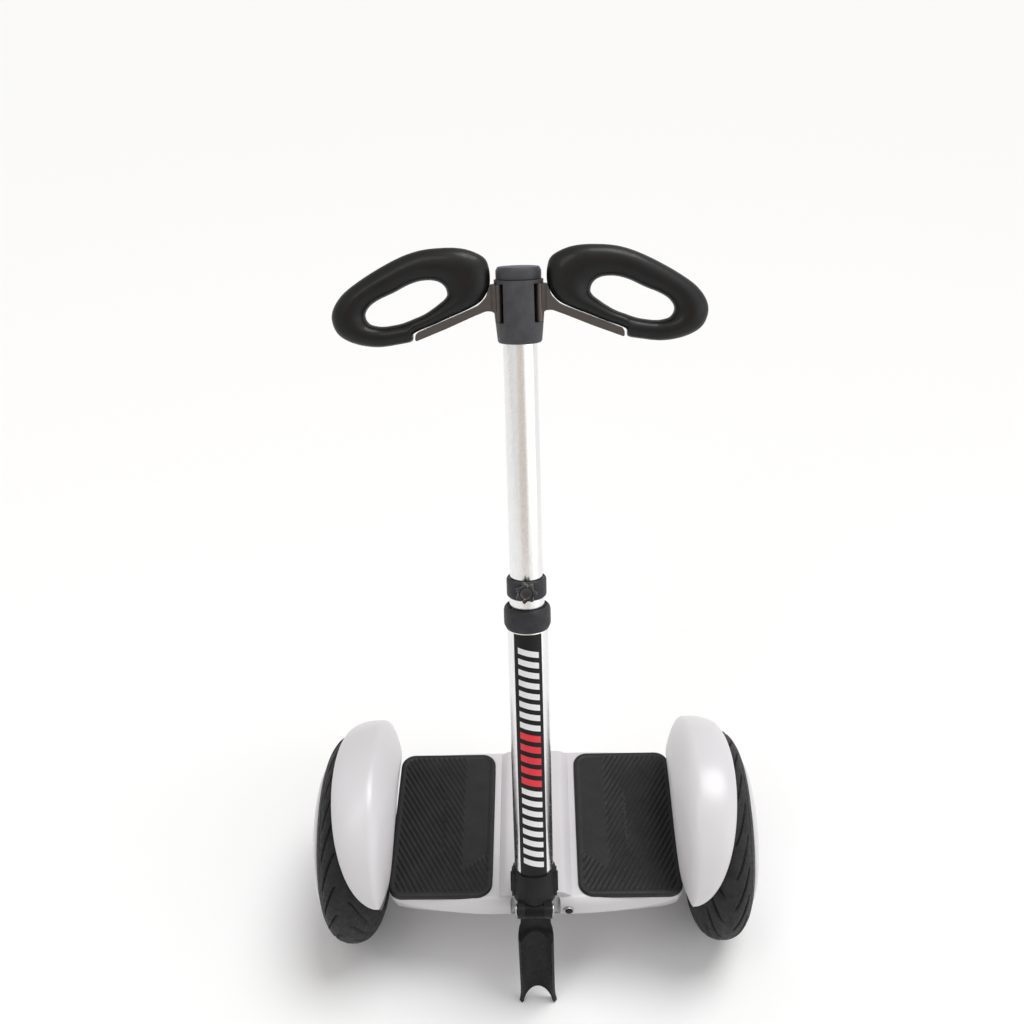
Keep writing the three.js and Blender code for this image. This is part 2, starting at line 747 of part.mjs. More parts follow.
function socketSolid() {
  let socket = solid(rod(socketRadius, socketStart - shellWall, socketEnd));
  for (const side of [-1, 1]) {
    const [x0, x1] = side > 0 ? [0, bossOuter] : [-bossOuter, 0];
    const half = buttonWide / 2 + bossMargin;
    socket = socket.add(solid(block(x0, x1, -half, half,
      buttonMiddle - buttonHigh / 2 - bossMargin, buttonMiddle + buttonHigh / 2 + bossMargin)));
    const [e0, e1] = side > 0 ? [earInner, earOuter] : [-earOuter, -earInner];
    const ear = placed(alongX(rod(earRadius, e0, e1, 24)), 0, -pivotForward, pivotPlace);
    socket = socket.add(solid(ear));
    const root = block(e0, e1, -socketRadius + gap, 0, pivotPlace, socketStart);
    socket = socket.add(solid(root));
  }
  const corners = [[stemFrontY, stemLowZ], [stemBackY, stemLowZ], [stemBackY, stemTopZ - 2 * earRadius],
    [stemBackY - earRadius / 2, stemTopZ], [stemFrontY, stemTopZ]];
  const stem = acrossX(corners.map(([y, z]) => inPost(y, z)), -blockHalf, blockHalf);
  socket = socket.add(solid(stem));
  socket = socket.subtract(solid(rod(lowerRadius + gap, socketStart + 2, socketEnd + overrun)));
  for (const side of [-1, 1]) {
    const [x0, x1] = side > 0 ? [pocketFloor, bossOuter + 1] : [-bossOuter - 1, -pocketFloor];
    socket = socket.subtract(solid(block(x0, x1, -buttonWide / 2 - gap, buttonWide / 2 + gap,
      buttonMiddle - buttonHigh / 2 - gap, buttonMiddle + buttonHigh / 2 + gap)));
  }
  const pinHole = placed(alongX(rod(pinRadius + gap, -overrun * 2, overrun * 2, 20)),
    0, -pivotForward, pivotPlace);
  socket = socket.subtract(solid(pinHole));
  const knuckle = placed(alongX(rod(earRadius + 1, -earInner, earInner, 24)),
    0, -pivotForward, pivotPlace);
  socket = socket.subtract(solid(knuckle));
  const [boreY, boreZ] = inPost(0, shaftZ);
  const bore = alongY(rod(shaftRadius + gap, -notchBack - shaftSocket - gap, 0, 32))
    .translate(0, 0, 0).applyMatrix4(new THREE.Matrix4().makeRotationX(postLean))
    .translate(0, boreY, boreZ);
  return geometryOf(socket.subtract(solid(bore)));
}

addMesh('post_socket', socketSolid(), 'black', post);
for (const [name, side] of [['left', -1], ['right', 1]]) {
  const inner = releaseOuter - (bossOuter - pocketFloor) + gap / 2;
  const face = raised(roundedRectangle(-buttonWide / 2, buttonWide / 2,
    buttonMiddle - buttonHigh / 2, buttonMiddle + buttonHigh / 2, buttonWide / 3), inner, releaseOuter);
  const turn = new THREE.Matrix4().makeBasis(
    new THREE.Vector3(0, side, 0), new THREE.Vector3(0, 0, 1), new THREE.Vector3(side, 0, 0));
  addMesh(`${name}_release_button`, face.applyMatrix4(turn), 'black', post);
}

const pinHead = 6.5;
const pinHeadThick = 2;
addMesh('kickstand_pin', placed(alongX(turned([
  [0, -earOuter - gap - pinHeadThick], [pinHead, -earOuter - gap - pinHeadThick],
  [pinHead, -earOuter - gap], [pinRadius, -earOuter - gap], [pinRadius, earOuter + gap],
  [pinHead, earOuter + gap], [pinHead, earOuter + gap + pinHeadThick],
  [0, earOuter + gap + pinHeadThick],
], 20)), 0, -pivotForward, pivotPlace), 'steel', post);

// Lower tube with the ring collar and the neck it carries
addMesh('lower_tube', sleeve(lowerRadius - lowerWall, lowerRadius, lowerStart, lowerEnd), 'silver', post);
const ringLip = 5;
addMesh('ring_collar', turned([
  [lowerRadius + gap, ringStart], [ringRadius - 2, ringStart], [ringRadius, ringStart + ringLip],
  [ringRadius, ringEnd - ringLip], [ringRadius - 1, ringEnd - 1.5], [ringRadius - shellWall, ringEnd],
  [neckRadius + gap, ringEnd], [neckRadius + gap, lowerEnd + gap], [lowerRadius + gap, lowerEnd + gap],
]), 'black', post);
addMesh('neck_sleeve', sleeve(upperRadius + gap, neckRadius, ringStart + 2 * ringLip, clampEnd - 2),
  'silver', post);
const clampBevel = 2;
addMesh('clamp_collar', cut(turned([
  [neckRadius + gap, clampStart], [clampRadius - clampBevel, clampStart],
  [clampRadius, clampStart + clampBevel], [clampRadius, clampEnd - clampBevel],
  [clampRadius - clampBevel, clampEnd], [neckRadius + gap, clampEnd],
]), block(-1, 1, 0, clampRadius + overrun, clampStart - 1, clampEnd + 1)), 'black', post);

// Star knob of the clamp
const knobLobes = 7;
const knobWave = 1.5;
function knobSolid() {
  const points = [];
  const steps = knobLobes * 4;
  for (let i = 0; i < steps; i += 1) {
    const turn = 2 * Math.PI * i / steps;
    const r = knobRadius - knobWave + knobWave * Math.cos(knobLobes * turn);
    points.push([r * Math.cos(turn), r * Math.sin(turn)]);
  }
  const stud = rod(pinRadius, 0, shellWall, 20);
  const star = raised(polygon(points), 2, knobDepth);
  const dish = new THREE.SphereGeometry(knobRadius * 1.5, 16, 16)
    .translate(0, 0, knobDepth + knobRadius * 1.5 - 2);
  return cut(join(stud, star), dish);
}
addMesh('clamp_knob', placed(knobSolid().rotateX(Math.PI / 2), 0, -clampRadius - gap, knobPlace),
  'black', post);

// Upper tube and the head with its hinges
addMesh('upper_tube', sleeve(upperRadius - upperWall, upperRadius, upperStart, upperEnd),
  'silver', post);

const headSides = 10;
const headRadius = 26;
const headWaist = 23.5;
const headWaistPlace = 678;
const capRadius = 24;
const hingeX = 21;
const hingeForward = 7;
const barrelRadius = 4.2;
const barrelStart = 672;
const barrelEnd = 712;
const slotWide = 6;
const hingePinRadius = 2;

function headSolid() {
  const turn = Math.PI / headSides;
  const ring = turned([
    [upperRadius + gap, headStart], [headWaist - 1, headStart], [headWaist, headStart + 1.5],
    [headRadius, headWaistPlace], [headRadius, headEnd], [0, headEnd],
    [0, upperEnd + gap], [upperRadius + gap, upperEnd + gap],
  ], headSides * 2).rotateZ(turn);
  let head = solid(ring);
  for (const side of [-1, 1]) {
    const [x0, x1] = side > 0 ? [hingeX - slotWide + 1, headRadius + 2] : [-headRadius - 2, slotWide - 1 - hingeX];
    const slot = block(x0, x1, -hingeForward - overrun, -hingeForward + slotWide,
      barrelStart - gap, barrelEnd + gap);
    head = head.subtract(solid(slot));
    head = head.subtract(solid(placed(
      rod(hingePinRadius + gap, barrelStart - 6, headEnd + 1, 12), side * hingeX, -hingeForward, 0)));
  }
  return geometryOf(head);
}
addMesh('head_body', headSolid(), 'black', post);
addMesh('head_cap', turned([
  [0, headEnd + gap], [capRadius, headEnd + gap], [capRadius, headTop - 4],
  [capRadius - 2, headTop], [0, headTop],
], headSides * 2).rotateZ(Math.PI / headSides), 'black', post);

// Handles: a flat arm in the hinge, with a ring grip round it
const armHalf = 6;
const armNeckHalf = 3;
const armReach = 88.4;
const armTall = 57.7;
const armLow = 654.3;
const armShares = [
  [0.0226, 1], [0.0928, 1], [0.1097, 0.948], [0.1493, 0.7678], [0.2432, 0.6187],
  [0.3507, 0.5459], [0.6222, 0.3761], [0.9955, 0.1421], [1, 0], [0.6222, 0.2236],
  [0.2941, 0.4367], [0.1471, 0.5234], [0.0792, 0.5147], [0.0226, 0.4281],
];
const gripReach = 175;
const gripTall = 101.5;
const gripLow = 649;
const gripThin = 9;
const gripThick = 15;
const gripWidest = 45;
const gripSides = 10;
const ringShares = [
  [0.0486, 0.6305], [0.0514, 0.7783], [0.0771, 0.8867], [0.1514, 0.9606], [0.2343, 0.9951],
  [0.3371, 1], [0.4571, 0.9803], [0.5714, 0.9212], [0.6971, 0.8177], [0.8286, 0.6847],
  [0.9314, 0.5517], [0.9914, 0.4039], [1, 0.266], [0.96, 0.1281], [0.8629, 0.0374],
  [0.7286, 0], [0.5829, 0.0296], [0.5229, 0.0571], [0.5103, 0.135], [0.3943, 0.2167],
  [0.2914, 0.2916], [0.1771, 0.3744], [0.1086, 0.4433], [0.0657, 0.5419],
];
const holeShares = [
  [0.3057, 0.532], [0.3114, 0.5813], [0.3257, 0.6207], [0.3486, 0.6502], [0.3771, 0.668],
  [0.4171, 0.6749], [0.4743, 0.665], [0.5429, 0.6256], [0.6229, 0.5567], [0.7029, 0.4975],
  [0.76, 0.4384], [0.7943, 0.3645], [0.7971, 0.3005], [0.7743, 0.2414], [0.7314, 0.2167],
  [0.68, 0.2118], [0.5943, 0.2345], [0.5486, 0.2591], [0.5143, 0.2818], [0.4514, 0.3251],
  [0.3943, 0.3842], [0.3514, 0.4384], [0.3257, 0.4729], [0.3114, 0.5025],
];

function armPlate(half) {
  const points = armShares.map(([x, z]) => [hingeX + x * armReach, armLow + z * armTall]);
  return raised(polygon(points), -half, half).rotateX(Math.PI / 2).translate(0, -hingeForward, 0);
}

function armSolid(side) {
  const neck = hingeX + slotWide + 2;
  const thin = cut(armPlate(armHalf),
    block(0, neck, -hingeForward - 2 * armHalf, -hingeForward - armNeckHalf, barrelStart, barrelEnd + 1),
    block(0, neck, -hingeForward + armNeckHalf, -hingeForward + 2 * armHalf, barrelStart, barrelEnd + 1));
  const barrel = placed(rod(barrelRadius, barrelStart + gap, barrelEnd - gap, 20), hingeX, -hingeForward, 0);
  const whole = cut(join(thin, barrel),
    placed(rod(hingePinRadius + gap, barrelStart - 1, barrelEnd + 1, 12), hingeX, -hingeForward, 0));
  return side > 0 ? whole : whole.scale(-1, 1, 1);
}

// The ring is loosely oval in section, thicker where it is wide, and cut back from the arm it lies on
function gripSolid(side) {
  const points = [];
  const steps = ringShares.length;
  const place = ([x, z]) => [hingeX + x * gripReach, gripLow + z * gripTall];
  ringShares.forEach((share, i) => {
    const outer = place(share);
    const inner = place(holeShares[i]);
    const wide = Math.hypot(outer[0] - inner[0], outer[1] - inner[1]);
    const thick = gripThin + (gripThick - gripThin) * Math.min(1, wide / gripWidest);
    for (let j = 0; j < gripSides; j += 1) {
      const roll = 2 * Math.PI * j / gripSides;
      const out = (1 + Math.cos(roll)) / 2;
      points.push([inner[0] + (outer[0] - inner[0]) * out, -hingeForward - thick * Math.sin(roll),
        inner[1] + (outer[1] - inner[1]) * out]);
    }
  });
  const index = [];
  for (let i = 0; i < steps; i += 1) {
    for (let j = 0; j < gripSides; j += 1) {
      const at = (m, n) => (m % steps) * gripSides + (n % gripSides);
      index.push(at(i, j), at(i + 1, j), at(i + 1, j + 1), at(i, j), at(i + 1, j + 1), at(i, j + 1));
    }
  }
  const geometry = new THREE.BufferGeometry();
  geometry.setAttribute('position', new THREE.Float32BufferAttribute(points.flat(), 3));
  geometry.setIndex(index);
  const seat = armPlate(gripThick + overrun);
  const grip = cut(geometry, seat, seat.clone().translate(gap, 0, -gap), seat.clone().translate(-gap, 0, gap),
    seat.clone().translate(gap, 0, gap), seat.clone().translate(-gap, 0, -gap));
  return side > 0 ? grip : grip.scale(-1, 1, 1);
}

for (const [name, side] of [['left', -1], ['right', 1]]) {
  addMesh(`${name}_hinge_pin`, placed(rod(hingePinRadius, barrelStart - 5.5, headEnd - gap, 12),
    side * hingeX, -hingeForward, 0), 'steel', post);
  addMesh(`${name}_handle_arm`, armSolid(side), 'silver', post);
  addMesh(`${name}_grip`, gripSolid(side), 'rubber', post);
}

// Kickstand, drawn about its pivot: +Z runs down the leg and -Y is its open front
const legInner = 23;
const legThick = 3;
const legArc = 0.94;
const legDepth = 5;
const neckDepth = 7.6;
const neckHalf = 12.5;
const neckStart = 6;
const neckEnd = 22;
const jogStart = 46;
const jogEnd = 54;
const legHalf = 21;
const notchRadius = 17.5;
const notchDeep = 21;
const flare = 2;
const slotHalf = 4;
const slotLow = 14;
const slotHigh = 19;

function kickstandSolid() {
  const knuckleHalf = earInner - gap;
  const rows = [[neckStart, knuckleHalf, neckDepth, 0], [2 * neckStart, knuckleHalf, neckDepth, 0],
    [neckEnd, neckHalf, neckDepth, 0],
    [jogStart, legHalf - 1, neckDepth, 0.45], [jogEnd, legHalf, legDepth, 1],
    [legLength - notchDeep, legHalf, legDepth, 1], [legLength, legHalf + flare, legDepth, 1]];
  const across = 10;
  const front = [];
  const back = [];
  for (const [z, half, depth, curl] of rows) {
    const near = [];
    const far = [];
    for (let j = 0; j <= across; j += 1) {
      const turn = legArc * (2 * j / across - 1);
      const x = half * Math.sin(turn) / Math.sin(legArc);
      const bend = legInner * (1 - Math.cos(turn)) * curl;
      near.push([x * (1 - legThick / legInner * curl), depth - bend, z]);
      far.push([x, depth + legThick - bend * (1 - legThick / legInner), z]);
    }
    front.push(near);
    back.push(far);
  }
  let leg = solid(skin(back, front));
  const arch = alongY(new THREE.CylinderGeometry(notchRadius, notchRadius, 4 * overrun, 24).rotateX(Math.PI / 2));
  leg = leg.subtract(solid(placed(arch.scale(1, 1, notchDeep / notchRadius), 0, 0, legLength)));
  const slot = block(-slotHalf, slotHalf, 0, overrun, slotLow, slotHigh);
  leg = leg.subtract(solid(slot));
  leg = leg.add(solid(alongX(rod(earRadius - 0.5, -knuckleHalf, knuckleHalf, 24))));
  const knuckleTop = neckStart + 1.8;
  leg = leg.add(solid(block(-knuckleHalf, knuckleHalf, 2, neckDepth + legThick, 0, knuckleTop)));
  return geometryOf(leg.subtract(solid(alongX(rod(pinRadius + gap, -overrun, overrun, 20)))));
}

const pivotY = postFootY - pivotForward * Math.cos(postLean) + pivotPlace * Math.sin(postLean);
const pivotZ = postFootZ + pivotForward * Math.sin(postLean) + pivotPlace * Math.cos(postLean);
const kickstand = addMesh('kickstand', kickstandSolid().rotateX(Math.PI).scale(1, -1, 1), 'black');
kickstand.position.set(0, pivotY, pivotZ);
kickstand.rotation.x = -legLean;

// Standing on the ground, with the middle of its box over the origin
transporter.updateMatrixWorld(true);
const box = new THREE.Box3().setFromObject(transporter, true);
transporter.position.set(-(box.min.x + box.max.x) / 2, -(box.min.y + box.max.y) / 2, -box.min.z);

export default transporter;
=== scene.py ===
import json
import math

import bmesh
import bpy
from mathutils import Matrix, Vector

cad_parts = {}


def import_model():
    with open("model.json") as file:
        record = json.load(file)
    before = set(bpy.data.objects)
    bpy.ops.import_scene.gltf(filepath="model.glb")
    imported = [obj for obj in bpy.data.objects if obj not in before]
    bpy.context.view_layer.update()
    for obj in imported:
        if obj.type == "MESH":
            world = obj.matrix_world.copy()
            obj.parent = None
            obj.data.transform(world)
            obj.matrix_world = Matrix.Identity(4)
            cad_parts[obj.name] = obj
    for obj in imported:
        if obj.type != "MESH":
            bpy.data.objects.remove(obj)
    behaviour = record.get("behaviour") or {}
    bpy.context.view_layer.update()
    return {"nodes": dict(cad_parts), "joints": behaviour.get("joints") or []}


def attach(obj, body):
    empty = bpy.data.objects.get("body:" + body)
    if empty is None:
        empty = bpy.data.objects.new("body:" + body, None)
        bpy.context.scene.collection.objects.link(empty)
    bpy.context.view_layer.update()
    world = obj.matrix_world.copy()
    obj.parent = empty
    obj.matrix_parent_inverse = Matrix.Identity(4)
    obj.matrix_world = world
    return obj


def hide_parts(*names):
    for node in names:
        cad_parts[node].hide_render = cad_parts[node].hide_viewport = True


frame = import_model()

# Places come from the frame. Other sizes are in millimetres and scaled by MM.
MM = 0.001
# The gap between two pieces that fit together
FIT = 0.3
# The radius of a turned profile's end on its axis
AXIS = 0.01
joints = {joint["name"]: joint for joint in frame["joints"]}
AXLE_Y, AXLE_Z = [value / MM for value in joints["left_wheel_spin"]["pos_m"][1:3]]
HALF_TRACK = joints["right_wheel_spin"]["pos_m"][0] / MM
POST_UP = Vector(joints["post_lift"]["axis"]).normalized()
FOOT_FORWARD, FOOT_HEIGHT = 122.8, 181.6
POST_FOOT = Vector((0, AXLE_Y - FOOT_FORWARD, FOOT_HEIGHT))
TO_POST = Matrix.Translation(POST_FOOT) @ Matrix((
    (1, 0, 0, 0), (0, POST_UP.z, POST_UP.y, 0), (0, -POST_UP.y, POST_UP.z, 0), (0, 0, 0, 1)))


# Camera, fitted to the photograph's wheels, footpads, post and stand
IMAGE = 1024
FOCAL_PIXELS, CENTRE_ROW = 1152, 430
SENSOR_WIDTH = 36
PITCH, ROLL, YAW = 0.598, -0.042, -0.035
CAMERA_ASIDE, CAMERA_FORWARD, CAMERA_HEIGHT = 24.5, 931, 1390


def make_camera():
    forward = Vector((math.sin(YAW) * math.cos(PITCH), math.cos(YAW) * math.cos(PITCH), -math.sin(PITCH)))
    side = Vector((math.cos(YAW), -math.sin(YAW), 0))
    up = side.cross(forward)
    right = side * math.cos(ROLL) + up * math.sin(ROLL)
    top = up * math.cos(ROLL) - side * math.sin(ROLL)
    data = bpy.data.cameras.new("camera")
    data.sensor_width = SENSOR_WIDTH
    data.lens = FOCAL_PIXELS * SENSOR_WIDTH / IMAGE
    data.shift_y = (CENTRE_ROW - IMAGE / 2) / IMAGE
    camera = bpy.data.objects.new("camera", data)
    bpy.context.scene.collection.objects.link(camera)
    turn = Matrix((right, top, -forward)).transposed().to_4x4()
    place = Vector((CAMERA_ASIDE, AXLE_Y - CAMERA_FORWARD, CAMERA_HEIGHT))
    camera.matrix_world = Matrix.Translation(place * MM) @ turn
    bpy.context.scene.camera = camera


make_camera()


# Materials: a noise's values between NOISE_ENDS blend the low colour into the high one
NOISE_ENDS = (0.3, 0.7)


class Finish:
    """A material and its node tree, with short calls for the nodes used here."""

    def __init__(self, name, colour, roughness, metallic=0.0, coat=0.0, specular=0.5, coat_rough=0.08):
        self.material = bpy.data.materials.new(name)
        self.material.use_nodes = True
        self.nodes = self.material.node_tree.nodes
        self.links = self.material.node_tree.links
        self.shader = self.nodes["Principled BSDF"]
        self.shader.inputs["Base Color"].default_value = (*colour, 1)
        self.shader.inputs["Roughness"].default_value = roughness
        self.shader.inputs["Metallic"].default_value = metallic
        self.shader.inputs["Coat Weight"].default_value = coat
        self.shader.inputs["Coat Roughness"].default_value = coat_rough
        self.shader.inputs["Specular IOR Level"].default_value = specular
        self.place = self.nodes.new("ShaderNodeTexCoord").outputs["Object"]

    def noise(self, scale, detail=4.0, stretch=(1, 1, 1)):
        mapping = self.nodes.new("ShaderNodeMapping")
        mapping.inputs["Scale"].default_value = stretch
        self.links.new(self.place, mapping.inputs["Vector"])
        noise = self.nodes.new("ShaderNodeTexNoise")
        noise.inputs["Scale"].default_value = scale
        noise.inputs["Detail"].default_value = detail
        self.links.new(mapping.outputs["Vector"], noise.inputs["Vector"])
        return noise.outputs["Fac"]

    def ramp(self, value, low, high):
        ramp = self.nodes.new("ShaderNodeValToRGB")
        for stop, place, colour in zip(ramp.color_ramp.elements, NOISE_ENDS, (low, high)):
            stop.position = place
            stop.color = (*colour, 1)
        self.links.new(value, ramp.inputs["Fac"])
        return ramp.outputs["Color"]

    def colour(self, value, low, high):
        self.links.new(self.ramp(value, low, high), self.shader.inputs["Base Color"])

    def rough(self, value, low, high):
        shade = self.ramp(value, (low,) * 3, (high,) * 3)
        self.links.new(shade, self.shader.inputs["Roughness"])

    def bump(self, value, height):
        bump = self.nodes.new("ShaderNodeBump")
        bump.inputs["Distance"].default_value = height * MM
        bump.inputs["Strength"].default_value = 1
        self.links.new(value, bump.inputs["Height"])
        self.links.new(bump.outputs["Normal"], self.shader.inputs["Normal"])


def grained(finish, tones, tone_noise, roughs, rough_noise, height, height_noise):
    """Noise in the colour, the roughness and the surface. Each noise is its scale and its detail."""
    finish.colour(finish.noise(*tone_noise), *tones)
    finish.rough(finish.noise(*rough_noise), *roughs)
    finish.bump(finish.noise(*height_noise), height)
    return finish.material


def black_plastic(name, low, high, specular=0.22):
    return grained(
        Finish(name, low, 0.5, specular=specular), tones=(low, high), tone_noise=(70, 6),
        roughs=(0.42, 0.6), rough_noise=(260, 5), height=0.06, height_noise=(1900, 4))


def brushed(name, colour, roughness, along):
    """Metal with fine streaks along one axis."""
    finer, darker = 14.0, 0.93
    finish = Finish(name, colour, roughness, metallic=1.0)
    stretch = [1.0 if axis == along else finer for axis in range(3)]
    streaks = finish.noise(scale=90, detail=6, stretch=stretch)
    finish.rough(streaks, low=roughness - 0.06, high=roughness + 0.1)
    dark = tuple(value * darker for value in colour)
    finish.colour(finish.noise(scale=25, detail=3, stretch=stretch), dark, colour)
    finish.bump(streaks, height=0.01)
    return finish.material


def gloss(name, low, high, roughness=0.3, coat=0.3, specular=0.5):
    finish = Finish(name, low, roughness, coat=coat, specular=specular)
    finish.colour(finish.noise(scale=50, detail=3), low, high)
    finish.bump(finish.noise(scale=1200, detail=3), height=0.015)
    return finish.material


WHITE = grained(
    Finish("white_plastic", (0.66, 0.64, 0.66), 0.28, coat=0.3, coat_rough=0.24),
    tones=((0.64, 0.622, 0.642), (0.675, 0.66, 0.682)), tone_noise=(9, 2),
    roughs=(0.3, 0.36), rough_noise=(14, 3), height=0.006, height_noise=(260, 2))
TYRE = grained(
    Finish("tyre_rubber", (0.014, 0.014, 0.015), 0.6, specular=0.25),
    tones=((0.008, 0.008, 0.009), (0.02, 0.02, 0.021)), tone_noise=(60, 5),
    roughs=(0.5, 0.75), rough_noise=(220, 4), height=0.08, height_noise=(1500, 4))
PAD = grained(
    Finish("pad_rubber", (0.007, 0.007, 0.008), 0.5, specular=0.35),
    tones=((0.004, 0.004, 0.005), (0.011, 0.011, 0.012)), tone_noise=(40, 5),
    roughs=(0.42, 0.62), rough_noise=(300, 4), height=0.05, height_noise=(2200, 3))
GRIP = grained(
    Finish("grip_foam", (0.003, 0.003, 0.003), 0.38, coat=0.12, specular=0.22),
    tones=((0.002, 0.002, 0.002), (0.006, 0.006, 0.006)), tone_noise=(30, 4),
    roughs=(0.34, 0.5), rough_noise=(180, 5), height=0.09, height_noise=(1300, 5))
BLACK = black_plastic("fine_black", (0.006, 0.006, 0.007), (0.012, 0.012, 0.013))
CHARCOAL = black_plastic("charcoal_plastic", (0.024, 0.024, 0.027), (0.04, 0.04, 0.045))
HEAD = black_plastic("head_plastic", (0.05, 0.05, 0.054), (0.075, 0.075, 0.08))
STAND = black_plastic("stand_plastic", (0.003, 0.003, 0.0035), (0.006, 0.006, 0.007), specular=0.14)
KNOB = gloss("knob_plastic", (0.006, 0.006, 0.007), (0.011, 0.011, 0.012), roughness=0.32)
TUBE = brushed("tube_aluminium", (0.86, 0.86, 0.86), roughness=0.2, along=2)
ARM = brushed("arm_aluminium", (0.115, 0.105, 0.1), roughness=0.4, along=0)
STEEL = brushed("steel", (0.5, 0.5, 0.51), roughness=0.3, along=0)
CAST = brushed("cast_aluminium", (0.5, 0.5, 0.5), roughness=0.45, along=1)
COPPER = brushed("copper", (0.55, 0.27, 0.14), roughness=0.4, along=0)
LABEL_BLACK = gloss("label_black", (0.006, 0.006, 0.007), (0.01, 0.01, 0.011), coat=0, specular=0.2)
LABEL_WHITE = gloss("label_white", (0.76, 0.76, 0.77), (0.82, 0.82, 0.83))
LABEL_RED = gloss("label_red", (0.68, 0.006, 0.018), (0.76, 0.01, 0.025))
LENS = gloss("red_lens", (0.3, 0.005, 0.006), (0.42, 0.008, 0.01), roughness=0.12)
WRAP = gloss("blue_wrap", (0.03, 0.07, 0.22), (0.04, 0.09, 0.27))
BOARD = gloss("circuit_board", (0.012, 0.09, 0.035), (0.02, 0.13, 0.05))


# Mesh helpers: all points are in millimetres
MERGE = 1e-6
CORNER_SHARE = 0.45
# Edges that bend by more degrees than this are shaded sharp
SHARP = 38


def mesh_object(name, points, faces, material, matrix=None, sharp=SHARP):
    matrix = matrix or Matrix.Identity(4)
    mesh = bpy.data.meshes.new(name)
    mesh.from_pydata([(matrix @ Vector(point)) * MM for point in points], [], faces)
    mesh.validate()
    mesh.materials.append(material)
    bm = bmesh.new()
    bm.from_mesh(mesh)
    bmesh.ops.remove_doubles(bm, verts=bm.verts, dist=MERGE)
    bmesh.ops.recalc_face_normals(bm, faces=bm.faces)
    bm.to_mesh(mesh)
    bm.free()
    mesh.polygons.foreach_set("use_smooth", [True] * len(mesh.polygons))
    mesh.set_sharp_from_angle(angle=math.radians(sharp))
    item = bpy.data.objects.new(name, mesh)
    bpy.context.scene.collection.objects.link(item)
    return item


def filleted(points, radius, steps=4, closed=True):
    """The outline with each corner rounded, over a share of its sides at most."""
    result = []
    count = len(points)
    for i, point in enumerate(points):
        if not closed and i in (0, count - 1):
            result.append(point)
            continue
        here = Vector(point)
        before = Vector(points[i - 1]) - here
        after = Vector(points[(i + 1) % count]) - here
        reach = min(radius, before.length * CORNER_SHARE, after.length * CORNER_SHARE)
        start = here + before.normalized() * reach
        end = here + after.normalized() * reach
        for k in range(steps + 1):
            t = k / steps
            result.append(tuple(start.lerp(here, t).lerp(here.lerp(end, t), t)))
    return result


def lathe(name, profile, material, matrix, segments):
    """Turns a closed line of [radius, height] points about +Z of the matrix."""
    points = []
    for i in range(segments):
        turn = 2 * math.pi * i / segments
        points += [(r * math.cos(turn), r * math.sin(turn), z) for r, z in profile]
    count = len(profile)
    faces = []
    for i in range(segments):
        for j in range(count):
            a, b = i * count + j, i * count + (j + 1) % count
            c, d = (b + count) % len(points), (a + count) % len(points)
            faces.append((a, b, c, d))
    return mesh_object(name, points, faces, material, matrix)


def lofted(name, loops, material, matrix=None, sharp=SHARP):
    """A solid through closed loops of points, with flat ends."""
    count = len(loops[0])
    points = [point for loop in loops for point in loop]
    faces = []
    for k in range(len(loops) - 1):
        for i in range(count):
            a, b = k * count + i, k * count + (i + 1) % count
            faces.append((a, b, b + count, a + count))
    faces.append(tuple(range(count))[::-1])
    faces.append(tuple(range(len(points) - count, len(points))))
    return mesh_object(name, points, faces, material, matrix, sharp)


def use(item, body, *nodes):
    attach(item, body)
    if nodes:
        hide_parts(*nodes)
    return item


def wheel_matrix(side):
    """Local +Z points outward along the axle."""
    turn = Matrix.Rotation(side * math.pi / 2, 4, "Y")
    return Matrix.Translation(Vector((side * HALF_TRACK, AXLE_Y, AXLE_Z))) @ turn


# Wheels: profiles are [radius, place along the axle], but TREAD is [place along the axle, radius]
TYRE_RADIUS, TYRE_EDGE = 128, 34
BEAD_RADIUS, BEAD_HALF = 83, 29
RIM_FLANGE, RIM_INNER, RIM_LIP = 91, 76, 32
RIM_BORE, RIM_BED, RIM_ROUND = 16.3, 82.7, 0.8
WEB_BACK, WEB_FRONT, HUB_RADIUS = -25, -20, 20
COVER_SEAT, COVER_PEAK, COVER_RADIUS, COVER_WALL = 32.3, 49, 88, 4
# The slanted grooves run GROOVE_RUN pitches round on their way out, curve as that share's power and fade at
# both ends. Those of the outer half are staggered by a part of their pitch.
GROOVE_DEEP, GROOVE_HALF, GROOVE_OUT, GROOVES_A_TURN = 3.2, 1.9, 26, 20
GROOVE_RUN, GROOVE_POWER, GROOVE_STAGGER, GROOVE_ENDS = 1.5, 1.6, 0.5, 7
RIB_HALF, LINE_HALF = 5, 1.1
# The lines round the tread, as [place along the axle, share of the grooves' depth]
TREAD_LINES = [(28, 0.4), (RIB_HALF * 0.45, 0.35)]
SIDE_WALL = [(92.2, 34.9), (94, 34.8), (95.4, 34.2), (96.8, 34.3)]
TREAD = [(0, 128), (4, 127.8), (8, 127.1), (12, 125.8), (16, 124), (19, 122), (22, 119.5), (25, 116),
         (28, 111.8), (30.5, 107), (32.5, 102), (33.8, 97.8)]


def between(table, x):
    for (x0, y0), (x1, y1) in zip(table, table[1:]):
        if x <= x1:
            return y0 + (y1 - y0) * (x - x0) / (x1 - x0)
    return table[-1][1]


def smooth(x):
    x = min(max(x, 0), 1)
    return x * x * (3 - 2 * x)


